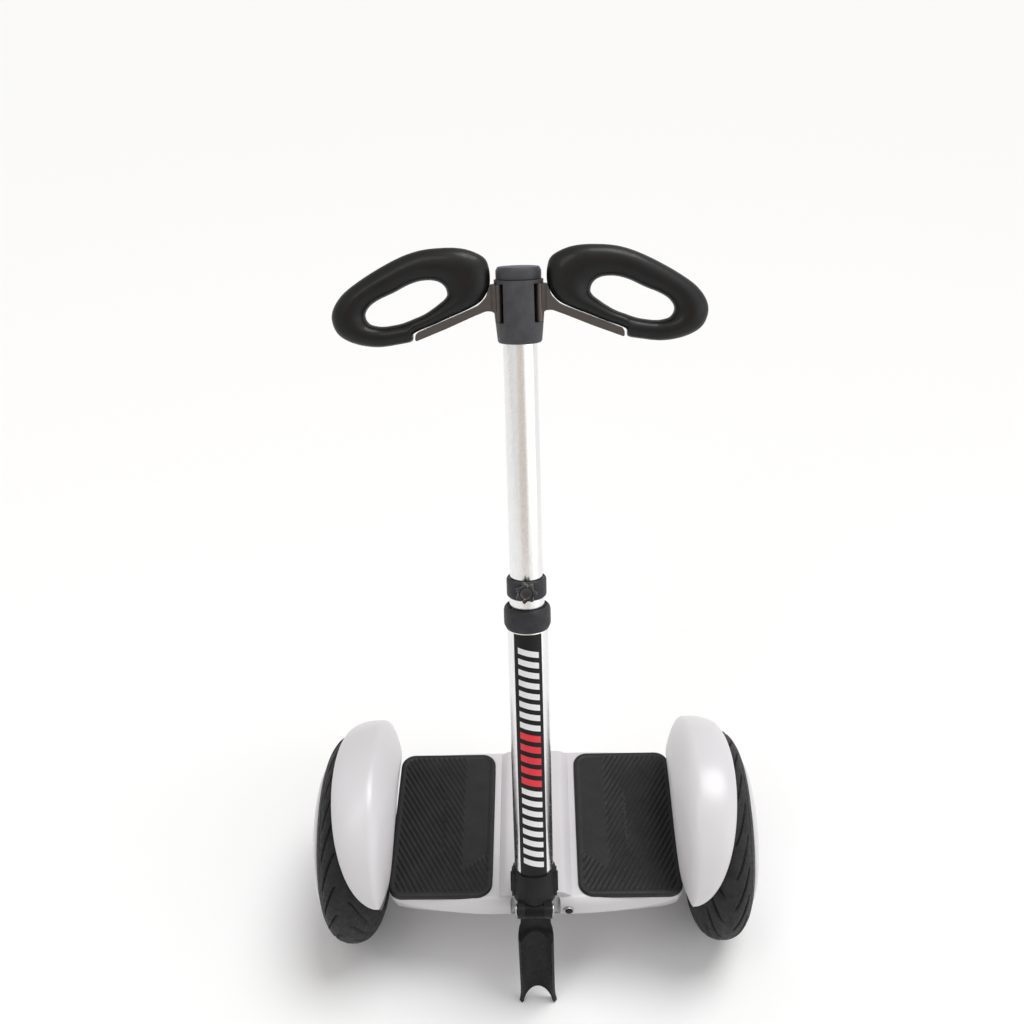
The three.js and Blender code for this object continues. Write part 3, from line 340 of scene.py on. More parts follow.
def groove(turn, z):
    """Depth of the tread's slanted grooves, which point the same way on both halves, and of its lines."""
    across = abs(z)
    line = 0
    for place, part in TREAD_LINES:
        line += GROOVE_DEEP * part * (1 - smooth(abs(across - place) / LINE_HALF))
    share = (across - RIB_HALF) / (GROOVE_OUT - RIB_HALF)
    if not 0 <= share <= 1:
        return line
    pitch = 2 * math.pi * TYRE_RADIUS / GROOVES_A_TURN
    lead = GROOVE_RUN * share ** GROOVE_POWER + (GROOVE_STAGGER if z > 0 else 0)
    phase = (turn / (2 * math.pi) * GROOVES_A_TURN + lead + 1 / 2) % 1 - 1 / 2
    slope = GROOVE_RUN * GROOVE_POWER * share ** (GROOVE_POWER - 1) * pitch / (GROOVE_OUT - RIB_HALF)
    off = abs(phase) * pitch / math.hypot(1, slope)
    ends = smooth(share * GROOVE_ENDS) * smooth((1 - share) * GROOVE_ENDS)
    return max(line, GROOVE_DEEP * (1 - smooth(off / GROOVE_HALF)) * ends)


def tyre(name, side):
    steps, across = 600, 64
    seat = RIM_FLANGE + FIT
    back = [(seat, TYRE_EDGE), (seat, BEAD_HALF), (BEAD_RADIUS, BEAD_HALF)]
    back += [(r, -z) for r, z in back[::-1]]
    points = []
    for i in range(steps):
        turn = 2 * math.pi * i / steps
        row = [(r, -z) for r, z in SIDE_WALL]
        for j in range(across + 1):
            z = TREAD[-1][0] * math.sin(math.pi * (j / across - 1 / 2))
            row.append((between(TREAD, abs(z)) - groove(turn, z), z))
        row += SIDE_WALL[::-1] + back
        points += [(r * math.cos(turn), r * math.sin(turn), z) for r, z in row]
    count = len(points) // steps
    faces = []
    for i in range(steps):
        for j in range(count):
            a, b = i * count + j, i * count + (j + 1) % count
            faces.append((a, b, (b + count) % len(points), (a + count) % len(points)))
    return mesh_object(name, points, faces, TYRE, wheel_matrix(side), sharp=50)


def rim(name, side):
    bed = BEAD_HALF + FIT
    profile = filleted([
        (RIM_BORE, -BEAD_HALF), (RIM_FLANGE, -RIM_LIP), (RIM_FLANGE, -bed), (RIM_BED, -bed), (RIM_BED, bed),
        (RIM_FLANGE, bed), (RIM_FLANGE, RIM_LIP), (RIM_INNER, RIM_LIP), (RIM_INNER, WEB_BACK),
        (HUB_RADIUS, WEB_BACK), (HUB_RADIUS, WEB_FRONT), (RIM_BORE, WEB_FRONT)], RIM_ROUND, steps=3)
    return lathe(name, profile, CAST, wheel_matrix(side), segments=160)


def hub_cover(name, side):
    """A shallow dome with a thick edge."""
    steps, edge = 20, 1
    crown, inner = COVER_SEAT + COVER_WALL, COVER_RADIUS - 2 * COVER_WALL
    deep = COVER_PEAK - crown
    outside, inside = [], []
    for i in range(steps):
        turn = i / steps * math.pi / 2
        outside.append((COVER_RADIUS * math.cos(turn), crown + deep * math.sin(turn)))
        inside.append((inner * math.cos(turn), COVER_SEAT + deep * math.sin(turn)))
    profile = [(COVER_RADIUS - edge, COVER_SEAT), (COVER_RADIUS, COVER_SEAT + edge)] + outside
    profile += [(AXIS, COVER_PEAK), (AXIS, COVER_PEAK - COVER_WALL)] + inside[::-1]
    return lathe(name, profile, WHITE, wheel_matrix(side), segments=160)


SIDES = (("left", -1), ("right", 1))
for label, side in SIDES:
    wheel = f"{label}_wheel"
    use(tyre(f"{label}_tread", side), wheel, f"{label}_tyre")
    use(rim(f"{label}_wheel_rim", side), wheel, f"{label}_rim")
    use(hub_cover(f"{label}_hub_cap", side), wheel, f"{label}_hub_cover")


# Fenders
BODY_HALF, BODY_FRONT, BODY_REAR = 180, 112, 119
FENDER_WALL, FENDER_FOOT, FENDER_EDGE = 3, 138, 134
FENDER_INNER, FENDER_WIDTH, FENDER_RISE, FENDER_BOW = 166, 77, 14, 0.8
# The inner side lies lower than the crown and moves out towards the ends, both more so behind the axle
FENDER_TAPER, FENDER_TAPER_MORE = 16, 6
FENDER_DROP, FENDER_DROP_MORE, FENDER_BLEND = 26, 8, math.radians(80)
FENDER_CENTRE, FENDER_SPAN, FENDER_TURN = math.radians(5), math.radians(70), math.radians(80)


def fender_line(theta, wall_rows, crown_rows):
    """The outer skin's [place across, radius] points at one place along it, and that place's angle."""
    taper = math.cos(theta)
    angle = FENDER_CENTRE + FENDER_SPAN * math.sin(theta)
    foot = (FENDER_FOOT - TYRE_RADIUS) / math.cos(angle)
    behind = max(0, -math.sin(theta))
    inner = FENDER_INNER + (FENDER_TAPER + FENDER_TAPER_MORE * behind) * (1 - taper)
    drop = FENDER_DROP + FENDER_DROP_MORE * behind
    foot_x = BODY_HALF + FIT
    line = []
    for j in range(wall_rows):
        share = j / wall_rows
        line.append((foot_x - (foot_x - inner) * share ** 2, foot + (FENDER_EDGE - drop - foot) * share))
    for j in range(crown_rows + 1):
        turn = math.pi * j / crown_rows
        rise = FENDER_RISE * taper * math.sin(turn) ** FENDER_BOW - drop * (1 - smooth(turn / FENDER_BLEND))
        line.append((inner + FENDER_WIDTH * taper * (1 - math.cos(turn)) / 2, FENDER_EDGE + rise))
    return line, angle


def fender(name, side):
    rows, wall_rows, crown_rows, reach = 60, 10, 36, 2
    outer, inner = [], []
    for i in range(rows + 1):
        line, angle = fender_line(FENDER_TURN * (2 * i / rows - 1), wall_rows, crown_rows)

        def place(point):
            x, r = point
            return side * x, AXLE_Y - r * math.sin(angle), AXLE_Z + r * math.cos(angle)

        pulled = []
        for j, (x, r) in enumerate(line):
            a, b = line[max(j - reach, 0)], line[min(j + reach, len(line) - 1)]
            long = math.hypot(b[0] - a[0], b[1] - a[1])
            wall = min(FENDER_WALL, long)
            pulled.append((x + wall * (b[1] - a[1]) / long, r - wall * (b[0] - a[0]) / long))
        outer.append([place(point) for point in line])
        inner.append([place(point) for point in pulled])
    # Each loop goes out along the outer skin and back along the inner one
    loops = [out + back[::-1] for out, back in zip(outer, inner)]
    return lofted(name, loops, WHITE, sharp=50)


for label, side in SIDES:
    use(fender(f"{label}_mudguard", side), "chassis", f"{label}_fender")


# Body shells
BODY_TOP, BODY_LIP, BODY_SPLIT, BODY_BOTTOM, SHELL_WALL = 148, 125, 112, 78, 3
NOSE, KEEL = 10, 6
FRONT_SHARES = [(0.37, 0.995), (0.57, 0.965), (0.76, 0.92), (0.89, 0.873), (1, 0.8)]
KEEL_SHARES = [0.73, 0.7, 0.67, 0.65, 0.6]
LIP_ROUND, OUTLINE_ROUND = 1.5, 40
REAR_SHARES = [(1, 0.8), (0.975, 0.9), (0.93, 0.95), (0.56, 0.99)]
PAD_INNER, PAD_OUTER, PAD_FRONT, PAD_REAR, PAD_CORNER = 52, 178.5, 105, 109, 18
PAD_SEAT, PAD_TOP = 145, 152
SPINE_HALF, SPINE_TOP_HALF, SPINE_TOP = 44, 35, 156
SPINE_ROUND = 5
NOTCH_HALF, NOTCH_BACK, NOTCH_FLOOR, NOTCH_ROUND = 30, 104, 116, 5
RECESS_CORNER = 1.7 * PAD_CORNER
AXLE_HOLE = 9
# Holes along Y as [place across, height, radius, front, back]
SHAFT_HOLE = (0, 138, 13, -124, -80)
BUTTON_HOLE = (40, 131.5, 5.6, -140, -95)


def body_loop(inset, z):
    """The outline at a height. Below the lip its front is drawn in towards the keel."""
    low = min(max((BODY_LIP - z) / (BODY_LIP - BODY_BOTTOM), 0), 1)
    half, front, rear = BODY_HALF - inset, BODY_FRONT - inset, BODY_REAR - inset
    right = [(x * half, -(y + (keel - y) * low) * front) for (x, y), keel in zip(FRONT_SHARES, KEEL_SHARES)]
    right += [(x * half, y * rear) for x, y in REAR_SHARES]
    return right + [(-x, y) for x, y in right[::-1]]


def body_loops(inset, z0, z1, rounding, at_top, steps=10):
    """Loops from the joint line to the rounded end, with the outline's corners rounded too."""
    loops = []
    start, end = (z0, z1) if at_top else (z1, z0)
    toward = 1 if at_top else -1
    rows = [(0, start)]
    if z0 < BODY_LIP < z1:
        rows += [(0, BODY_LIP + LIP_ROUND * toward * k) for k in (-1, -0.5, 0, 0.5, 1)]
    for i in range(steps + 1):
        turn = i / steps * math.pi / 2
        rows.append((rounding * (1 - math.cos(turn)), end - toward * rounding * (1 - math.sin(turn))))
    for grow, z in rows:
        outline = filleted([(x, y, 0) for x, y in body_loop(inset + grow, z)], OUTLINE_ROUND, steps=6)
        loops.append([(x, y + AXLE_Y, z) for x, y, _ in outline])
    return loops


def rounded_slab(name, x0, x1, y0, y1, z0, z1, corner):
    outline = filleted([(x0, y0, 0), (x1, y0, 0), (x1, y1, 0), (x0, y1, 0)], corner, steps=10)
    return lofted(name, [[(x, y + AXLE_Y, z) for x, y, _ in outline] for z in (z0, z1)], WHITE)


def spine(name, inset, y0, y1):
    low = BODY_TOP - NOSE
    half, top_half, top = SPINE_HALF - inset, SPINE_TOP_HALF - inset, SPINE_TOP - inset
    outline = [(-half, BODY_TOP - inset), (-top_half, top), (top_half, top), (half, BODY_TOP - inset)]
    outline = filleted([(x, 0, z) for x, z in outline], SPINE_ROUND, steps=5, closed=False)
    outline = [(-half, 0, low)] + outline + [(half, 0, low)]
    return lofted(name, [[(x, y + AXLE_Y, z) for x, _, z in outline] for y in (y0, y1)], WHITE)


def combine(item, other, operation):
    """Adds or takes the other mesh, then drops it."""
    change = item.modifiers.new("combine", "BOOLEAN")
    change.object = other
    change.operation = operation
    change.solver = "EXACT"
    graph = bpy.context.evaluated_depsgraph_get()
    mesh = bpy.data.meshes.new_from_object(item.evaluated_get(graph))
    item.modifiers.clear()
    item.data = mesh
    bpy.data.objects.remove(other)
    return item


def soften(item, width, segments=3, angle=30):
    """Rounds the sharp edges, and keeps flat faces flat in the shading."""
    bevel = item.modifiers.new("bevel", "BEVEL")
    bevel.width = width * MM
    bevel.segments = segments
    bevel.limit_method = "ANGLE"
    bevel.angle_limit = math.radians(angle)
    bevel.use_clamp_overlap = True
    bevel.harden_normals = True
    return item


def cylinder(name, place, radius, start, end, material=WHITE, segments=48):
    """A plain rod along the place's +Z."""
    profile = [(AXIS, start), (radius, start), (radius, end), (AXIS, end)]
    return lathe(name, profile, material, place, segments)


def upper_shell():
    far, above, sharp_corner = 400, 40, 0.1
    top, rear = SPINE_TOP + above, BODY_REAR - NOSE
    shell = lofted("deck_shell", body_loops(0, BODY_SPLIT, BODY_TOP, NOSE, True), WHITE)
    combine(shell, spine("spine", 0, -NOTCH_BACK, rear), "UNION")
    loops = body_loops(SHELL_WALL, BODY_SPLIT - above, PAD_SEAT - SHELL_WALL, NOSE, True)
    inside = lofted("inside", loops, WHITE)
    wall_back = SHELL_WALL - NOTCH_BACK
    combine(inside, spine("spine_inside", SHELL_WALL, wall_back, rear - SHELL_WALL), "UNION")
    keep = NOTCH_HALF + SHELL_WALL
    wall = rounded_slab("wall", -keep, keep, -far, wall_back, 0, top, sharp_corner)
    combine(inside, wall, "DIFFERENCE")
    combine(shell, inside, "DIFFERENCE")
    for _, side in SIDES:
        x0, x1 = sorted((side * (PAD_INNER - FIT), side * (PAD_OUTER + FIT)))
        recess = rounded_slab("recess", x0, x1, -PAD_FRONT - FIT, PAD_REAR + FIT, PAD_SEAT,
                              PAD_TOP + above, RECESS_CORNER)
        combine(shell, recess, "DIFFERENCE")
    across = Matrix.Translation(Vector((0, AXLE_Y, AXLE_Z))) @ Matrix.Rotation(math.pi / 2, 4, "Y")
    combine(shell, cylinder("axle_hole", across, AXLE_HOLE, -far, far), "DIFFERENCE")
    notch = rounded_slab("notch", -NOTCH_HALF, NOTCH_HALF, -far, -NOTCH_BACK, NOTCH_FLOOR, top, NOTCH_ROUND)
    combine(shell, notch, "DIFFERENCE")
    for x, z, radius, front, back in (SHAFT_HOLE, BUTTON_HOLE):
        place = Matrix.Translation(Vector((x, AXLE_Y, z))) @ Matrix.Rotation(-math.pi / 2, 4, "X")
        combine(shell, cylinder("hole", place, radius, front, back), "DIFFERENCE")
    return soften(shell, width=1.1, angle=32)


def lower_shell():
    above, thicker = 40, 1
    shell = lofted("keel_shell", body_loops(0, BODY_BOTTOM, BODY_SPLIT - FIT, KEEL, False), WHITE)
    floor = BODY_BOTTOM + SHELL_WALL + thicker
    loops = body_loops(SHELL_WALL, floor, BODY_SPLIT + above, KEEL, False)
    combine(shell, lofted("inside", loops, WHITE), "DIFFERENCE")
    return soften(shell, width=0.6, segments=2, angle=40)


use(upper_shell(), "chassis", "upper_shell")
use(lower_shell(), "chassis", "lower_shell")


# Footpads
PAD_BORDER, RIB_PITCH, RIB_HIGH, RIB_SLANT = 7.5, 5.9, 1.5, math.radians(60)
RIB_DROP, RIB_STEEP, RIB_SHIFT = 0.2, 1.25, 0.1
PANEL_WIDE, PANEL_FRONT, PANEL_DROP, PANEL_SLOPE = 40, -42, 0.7, 0.45
BORDER_DROP, BORDER_EDGE, PANEL_SIDE_EDGE, PANEL_END_EDGE = 0.15, 1.6, 1.5, 2.0
# The pad's rounded side, as [inset, height], then its rings' first inset, their step and what is left
PAD_SIDE = [(0, 145.3), (0, 149.2), (0.3, 150.3), (0.9, 151.2), (1.8, 151.7), (2.6, PAD_TOP - BORDER_DROP)]
PAD_START, PAD_STEP, PAD_REST = 3.5, 0.95, 0.5


def pad_height(x, y, inset):
    """Height of the pad's top: a smooth border, slanted ribs, and a smooth panel along its inner side."""
    along = -math.sin(RIB_SLANT) * x + math.cos(RIB_SLANT) * y
    wave = (1 + math.cos(2 * math.pi * along / RIB_PITCH)) / 2
    rib = PAD_TOP - RIB_HIGH - RIB_DROP + RIB_HIGH * smooth(wave * RIB_STEEP - RIB_SHIFT)
    slanted_edge = PANEL_FRONT - (x - PAD_INNER) * math.tan(RIB_SLANT) * PANEL_SLOPE
    panel = smooth((PAD_INNER + PANEL_WIDE - x) / PANEL_SIDE_EDGE)
    panel *= smooth((y - slanted_edge) / PANEL_END_EDGE)
    surface = rib * (1 - panel) + (PAD_TOP - PANEL_DROP) * panel
    border = smooth((PAD_BORDER - inset) / BORDER_EDGE)
    return surface * (1 - border) + (PAD_TOP - BORDER_DROP) * border


def pad_ring(inset, count):
    """Points of the pad's outline, drawn in by the inset, counted alike on each ring."""
    x0, x1 = PAD_INNER + inset, PAD_OUTER - inset
    y0, y1 = -PAD_FRONT + inset, PAD_REAR - inset
    corner = max(PAD_CORNER - inset, 0)
    arc = 8
    points = []
    corners = ((x1 - corner, y0 + corner, -90), (x1 - corner, y1 - corner, 0),
               (x0 + corner, y1 - corner, 90), (x0 + corner, y0 + corner, 180))
    for i, (cx, cy, start) in enumerate(corners):
        for k in range(arc + 1):
            turn = math.radians(start + 90 * k / arc)
            points.append((cx + corner * math.cos(turn), cy + corner * math.sin(turn)))
        nx, ny, next_start = corners[(i + 1) % 4]
        turn = math.radians(next_start)
        end = (nx + corner * math.cos(turn), ny + corner * math.sin(turn))
        last = points[-1]
        steps = count[i % 2]
        for k in range(1, steps):
            points.append(tuple(a + (b - a) * k / steps for a, b in zip(last, end)))
    return points


def footpad(name, side):
    count = (160, 84)
    half = (PAD_OUTER - PAD_INNER) / 2
    rings = [[(x, y, z) for x, y in pad_ring(inset, count)] for inset, z in PAD_SIDE]
    inset = PAD_START
    while inset < half - PAD_REST:
        rings.append([(x, y, pad_height(x, y, inset)) for x, y in pad_ring(inset, count)])
        inset += PAD_STEP
    loops = [[(side * x, y + AXLE_Y, z) for x, y, z in ring] for ring in rings]
    return lofted(name, loops, PAD, sharp=60)


for label, side in SIDES:
    use(footpad(f"{label}_deck_pad", side), "chassis", f"{label}_footpad")


# Post: +Z of TO_POST runs up it from its foot, and its -Y is the front
LOWER_RADIUS, LOWER_WALL, LOWER_START, LOWER_END = 22.5, 2.5, 8, 350
UPPER_RADIUS, UPPER_WALL, UPPER_START, UPPER_END = 18.2, 1.6, 270, 668
TUBE_ROUND = 0.5
RING_START, RING_END, RING_RADIUS, RING_ROUND = 332, 358, 26, 1.4
CLAMP_START, CLAMP_END, CLAMP_RADIUS, CLAMP_BEVEL, CLAMP_ROUND = 368.5, 391, 22, 2, 1.2
# The cut at the clamp's back, as [half width, front, back]
CLAMP_CUT = (1, 10, CLAMP_RADIUS + 4)
NECK_RADIUS, NECK_START, NECK_END = 19.5, RING_START + 10, CLAMP_END - 2
KNOB_PLACE, KNOB_RADIUS, KNOB_DEPTH = 381, 12, 9
KNOB_LOBES, KNOB_WAVE, LOBE_START, LOBE_RATE, LOBE_POWER = 7, 1.5, 0.72, 5, 1.6
# The knob's section from its stem to its dish, as [share of the radius, height]
KNOB_ROWS = [
    (0, 0.1), (0.32, 0.1), (0.33, 2), (0.93, 2), (1, 2.8), (1, KNOB_DEPTH - 2), (0.96, KNOB_DEPTH - 0.7),
    (0.88, KNOB_DEPTH), (0.8, KNOB_DEPTH), (0.74, KNOB_DEPTH - 0.5), (0.7, KNOB_DEPTH - 1.6),
    (0.6, KNOB_DEPTH - 2.6), (0.4, KNOB_DEPTH - 3.3), (0.2, KNOB_DEPTH - 3.6), (0, KNOB_DEPTH - 3.6)]
# The strip's angles are in degrees across the tube's front
STRIP_LOW, STRIP_HIGH, STRIP_HALF, STRIP_THICK, BAR_THICK = 36, 330.5, 42, 0.2, 0.35
BAR_LEFT, BAR_RIGHT, BAR_SLANT, BARS_START = -29, 31, -6, STRIP_HIGH - 15
WHITE_BAR, RED_BAR = (6.8, 5.7, LABEL_WHITE), (7.8, 5.8, LABEL_RED)
BARS = [WHITE_BAR] * 8 + [RED_BAR] * 5 + [WHITE_BAR] * 8


def tube(name, inner, outer, z0, z1, material):
    profile = filleted([(inner, z0), (outer, z0), (outer, z1), (inner, z1)], TUBE_ROUND, steps=3)
    return lathe(name, profile, material, TO_POST, segments=144)


def post_box(name, x0, x1, y0, y1, z0, z1, material):
    corners = [(x0, y0), (x1, y0), (x1, y1), (x0, y1)]
    return lofted(name, [[(x, y, z) for x, y in corners] for z in (z0, z1)], material, TO_POST)


def ring_collar():
    neck, lower = NECK_RADIUS + FIT, LOWER_RADIUS + FIT
    # [radius, height] from the lower tube round to the neck, with the radii drawn in from the widest
    outside = [(2.4, RING_START), (0, RING_START + 5), (0, RING_END - 5), (1, RING_END - 1.5),
               (3, RING_END), (3.6, RING_END), (4.2, RING_END - 2)]
    profile = [(lower, RING_START)] + [(RING_RADIUS - inset, z) for inset, z in outside]
    profile += [(neck, RING_END - 2), (neck, LOWER_END + FIT), (lower, LOWER_END + FIT)]
    return lathe("ring", filleted(profile, RING_ROUND), CHARCOAL, TO_POST, segments=144)


def clamp_collar():
    neck, edge, past = NECK_RADIUS + FIT, CLAMP_RADIUS - CLAMP_BEVEL, 2
    profile = filleted([
        (neck, CLAMP_START), (edge, CLAMP_START), (CLAMP_RADIUS, CLAMP_START + CLAMP_BEVEL),
        (CLAMP_RADIUS, CLAMP_END - CLAMP_BEVEL), (edge, CLAMP_END), (neck, CLAMP_END)], CLAMP_ROUND)
    collar = lathe("clamp", profile, CHARCOAL, TO_POST, segments=144)
    half, front, back = CLAMP_CUT
    cutter = post_box("cutter", -half, half, front, back, CLAMP_START - past, CLAMP_END + past, CHARCOAL)
    return combine(collar, cutter, "DIFFERENCE")


def star_knob():
    """Lobes round a dished face, which points forward."""
    segments = 168
    place = TO_POST @ Matrix.Translation(Vector((0, -CLAMP_RADIUS - FIT, KNOB_PLACE)))
    place = place @ Matrix.Rotation(math.pi / 2, 4, "X")
    loops = []
    for share, z in KNOB_ROWS:
        loop = []
        for i in range(segments):
            turn = 2 * math.pi * i / segments
            lobe = 1 - 2 * abs(math.sin(KNOB_LOBES * turn / 2)) ** LOBE_POWER
            lobe *= KNOB_WAVE * smooth((share - LOBE_START) * LOBE_RATE)
            r = max((KNOB_RADIUS - KNOB_WAVE) * share + lobe, 2 * AXIS)
            loop.append((r * math.cos(turn), r * math.sin(turn), z))
        loops.append(loop)
    return lofted("star_knob", loops, KNOB, place)


def bent_patch(name, outline, thick, material):
    """A thin sheet wrapped on the lower tube's front: its outline is in degrees across and mm up."""
    points, faces = [], []
    wide, tall, under = 3, 3, 0.02
    low = min(z for _, z in outline)
    high = max(z for _, z in outline)
    rows = max(int((high - low) / tall), 2)
    columns = max(int(abs(outline[1][0] - outline[0][0]) / wide), 2)
    (a0, z0), (a1, z1), (a2, z2), (a3, z3) = outline
    for radius in (LOWER_RADIUS + thick, LOWER_RADIUS + under):
        for i in range(rows + 1):
            v = i / rows
            for j in range(columns + 1):
                u = j / columns
                a = (a0 + (a1 - a0) * u) * (1 - v) + (a3 + (a2 - a3) * u) * v
                z = (z0 + (z1 - z0) * u) * (1 - v) + (z3 + (z2 - z3) * u) * v
                turn = math.radians(a)
                points.append((radius * math.sin(turn), -radius * math.cos(turn), z))
    count = (rows + 1) * (columns + 1)

    def at(i, j, layer=0):
        return layer * count + i * (columns + 1) + j

    for i in range(rows):
        for j in range(columns):
            faces.append((at(i, j), at(i, j + 1), at(i + 1, j + 1), at(i + 1, j)))
            faces.append((at(i, j, 1), at(i + 1, j, 1), at(i + 1, j + 1, 1), at(i, j + 1, 1)))
    edge = [at(0, j) for j in range(columns + 1)]
    edge += [at(i, columns) for i in range(1, rows + 1)]
    edge += [at(rows, j) for j in range(columns - 1, -1, -1)]
    edge += [at(i, 0) for i in range(rows - 1, 0, -1)]
    for k, a in enumerate(edge):
        b = edge[(k + 1) % len(edge)]
        faces.append((a, a + count, b + count, b))
    return mesh_object(name, points, faces, material, TO_POST)


def strip():
    """The dark strip up the lower tube with plain slanted bars."""
    outline = [(-STRIP_HALF, STRIP_LOW), (STRIP_HALF, STRIP_LOW),
               (STRIP_HALF, STRIP_HIGH), (-STRIP_HALF, STRIP_HIGH)]
    use(bent_patch("strip", outline, STRIP_THICK, LABEL_BLACK), "post")
    top = BARS_START
    for i, (long, skip, material) in enumerate(BARS):
        low = top - long
        outline = [(BAR_LEFT, low), (BAR_RIGHT, low + BAR_SLANT),
                   (BAR_RIGHT, top + BAR_SLANT), (BAR_LEFT, top)]
        use(bent_patch(f"strip_bar_{i}", outline, BAR_THICK, material), "post")
        top = low - skip


def post_tubes():
    lower = tube("lower_post", LOWER_RADIUS - LOWER_WALL, LOWER_RADIUS, LOWER_START, LOWER_END, TUBE)
    use(lower, "post", "lower_tube")
    neck = tube("neck", UPPER_RADIUS + FIT, NECK_RADIUS, NECK_START, NECK_END, TUBE)
    use(neck, "post", "neck_sleeve")
    upper = tube("upper_post", UPPER_RADIUS - UPPER_WALL, UPPER_RADIUS, UPPER_START, UPPER_END, TUBE)
    use(upper, "telescope", "upper_tube")


post_tubes()
use(ring_collar(), "post", "ring_collar")
use(clamp_collar(), "post", "clamp_collar")
use(star_knob(), "knob", "clamp_knob")
strip()


# Handles
HINGE_X, HINGE_FORWARD = 21, 7
BARREL_START, BARREL_END, BARREL_RADIUS = 672, 712, 4.2
ARM_HALF, ARM_NECK_HALF, ARM_NECK, ARM_ROUND = 6, 3, 8, 3
# Outlines as [share of the reach, share of the height] from the hinge
ARM_REACH, ARM_TALL, ARM_LOW = 88.4, 57.7, 654.3
ARM_SHARES = [
    (0.0226, 1), (0.0928, 1), (0.1097, 0.948), (0.1493, 0.7678), (0.2432, 0.6187),
    (0.3507, 0.5459), (0.6222, 0.3761), (0.9955, 0.1421), (1, 0), (0.6222, 0.2236),
    (0.2941, 0.4367), (0.1471, 0.5234), (0.0792, 0.5147), (0.0226, 0.4281)]
GRIP_REACH, GRIP_TALL, GRIP_LOW = 175, 101.5, 649
GRIP_THIN, GRIP_THICK, GRIP_WIDEST = 9, 15, 45
RING_SHARES = [
    (0.0486, 0.6305), (0.0514, 0.7783), (0.0771, 0.8867), (0.1514, 0.9606), (0.2343, 0.9951),
    (0.3371, 1), (0.4571, 0.9803), (0.5714, 0.9212), (0.6971, 0.8177), (0.8286, 0.6847),
    (0.9314, 0.5517), (0.9914, 0.4039), (1, 0.266), (0.96, 0.1281), (0.8629, 0.0374),
    (0.7286, 0), (0.5829, 0.0296), (0.5229, 0.0571), (0.5103, 0.135), (0.3943, 0.2167),
    (0.2914, 0.2916), (0.1771, 0.3744), (0.1086, 0.4433), (0.0657, 0.5419)]
HOLE_SHARES = [
    (0.3057, 0.532), (0.3114, 0.5813), (0.3257, 0.6207), (0.3486, 0.6502), (0.3771, 0.668),
    (0.4171, 0.6749), (0.4743, 0.665), (0.5429, 0.6256), (0.6229, 0.5567), (0.7029, 0.4975),
    (0.76, 0.4384), (0.7943, 0.3645), (0.7971, 0.3005), (0.7743, 0.2414), (0.7314, 0.2167),
    (0.68, 0.2118), (0.5943, 0.2345), (0.5486, 0.2591), (0.5143, 0.2818), (0.4514, 0.3251),
    (0.3943, 0.3842), (0.3514, 0.4384), (0.3257, 0.4729), (0.3114, 0.5025)]


def plate(name, outline, half, material):
    """An [x, z] outline drawn out both ways from the hinge's plane."""
    loops = [[(x, y - HINGE_FORWARD, z) for x, z in outline] for y in (-half, half)]
    return lofted(name, loops, material, TO_POST)


def arm_outline(side):
    points = [(HINGE_X + x * ARM_REACH, ARM_LOW + z * ARM_TALL, 0) for x, z in ARM_SHARES]
    return [(side * x, z) for x, z, _ in filleted(points, ARM_ROUND, steps=5)]


def handle_arm(name, side):
    """A flat arm that narrows to a barrel round its hinge pin."""
    arm = plate(name, arm_outline(side), ARM_HALF, ARM)
    past = 1
    x0, x1 = sorted((0, side * (HINGE_X + ARM_NECK)))
    for y0, y1 in ((-ARM_HALF * 2, -ARM_NECK_HALF), (ARM_NECK_HALF, ARM_HALF * 2)):
        cutter = post_box("cutter", x0, x1, y0 - HINGE_FORWARD, y1 - HINGE_FORWARD,
                          BARREL_START - past, BARREL_END + past, STEEL)
        combine(arm, cutter, "DIFFERENCE")
    place = TO_POST @ Matrix.Translation(Vector((side * HINGE_X, -HINGE_FORWARD, 0)))
    barrel = cylinder("barrel", place, BARREL_RADIUS, BARREL_START + FIT, BARREL_END - FIT, ARM, segments=40)
    combine(arm, barrel, "UNION")
    return soften(arm, width=1.0, angle=35)


def spline(points, steps):
    """A smooth closed line through the points, with as many steps between each two."""
    result = []
    count = len(points)
    for i in range(count):
        a, b, c, d = [Vector(points[(i + k) % count]) for k in (-1, 0, 1, 2)]
        for k in range(steps):
            t = k / steps
            place = b * 2 + (c - a) * t + (a * 2 - b * 5 + c * 4 - d) * t ** 2
            result.append((place + (b * 3 - a - c * 3 + d) * t ** 3) / 2)
    return result


def grip_ring(name, side):
    sides, rows, past = 36, 7, 10
    outer, hole = [
        spline([(HINGE_X + x * GRIP_REACH, GRIP_LOW + z * GRIP_TALL) for x, z in shares], rows)
        for shares in (RING_SHARES, HOLE_SHARES)]
    steps = len(outer)
    points, faces = [], []
    for near, far in zip(hole, outer):
        thick = GRIP_THIN + (GRIP_THICK - GRIP_THIN) * min(1, (far - near).length / GRIP_WIDEST)
        for j in range(sides):
            roll = 2 * math.pi * j / sides
            place = near.lerp(far, (1 + math.cos(roll)) / 2)
            points.append((side * place.x, -HINGE_FORWARD - thick * math.sin(roll), place.y))
    for i in range(steps):
        for j in range(sides):
            a, b = i * sides + j, i * sides + (j + 1) % sides
            c, d = ((i + 1) % steps) * sides + (j + 1) % sides, ((i + 1) % steps) * sides + j
            faces.append((a, b, c, d))
    ring = mesh_object(name, points, faces, GRIP, TO_POST, sharp=60)
    seat = plate("seat", arm_outline(side), GRIP_THICK + past, GRIP)
    return soften(combine(ring, seat, "DIFFERENCE"), width=0.8, segments=2, angle=50)


for label, side in SIDES:
    use(handle_arm(f"{label}_arm", side), f"{label}_handle", f"{label}_handle_arm")
    use(grip_ring(f"{label}_ring_grip", side), f"{label}_handle", f"{label}_grip")


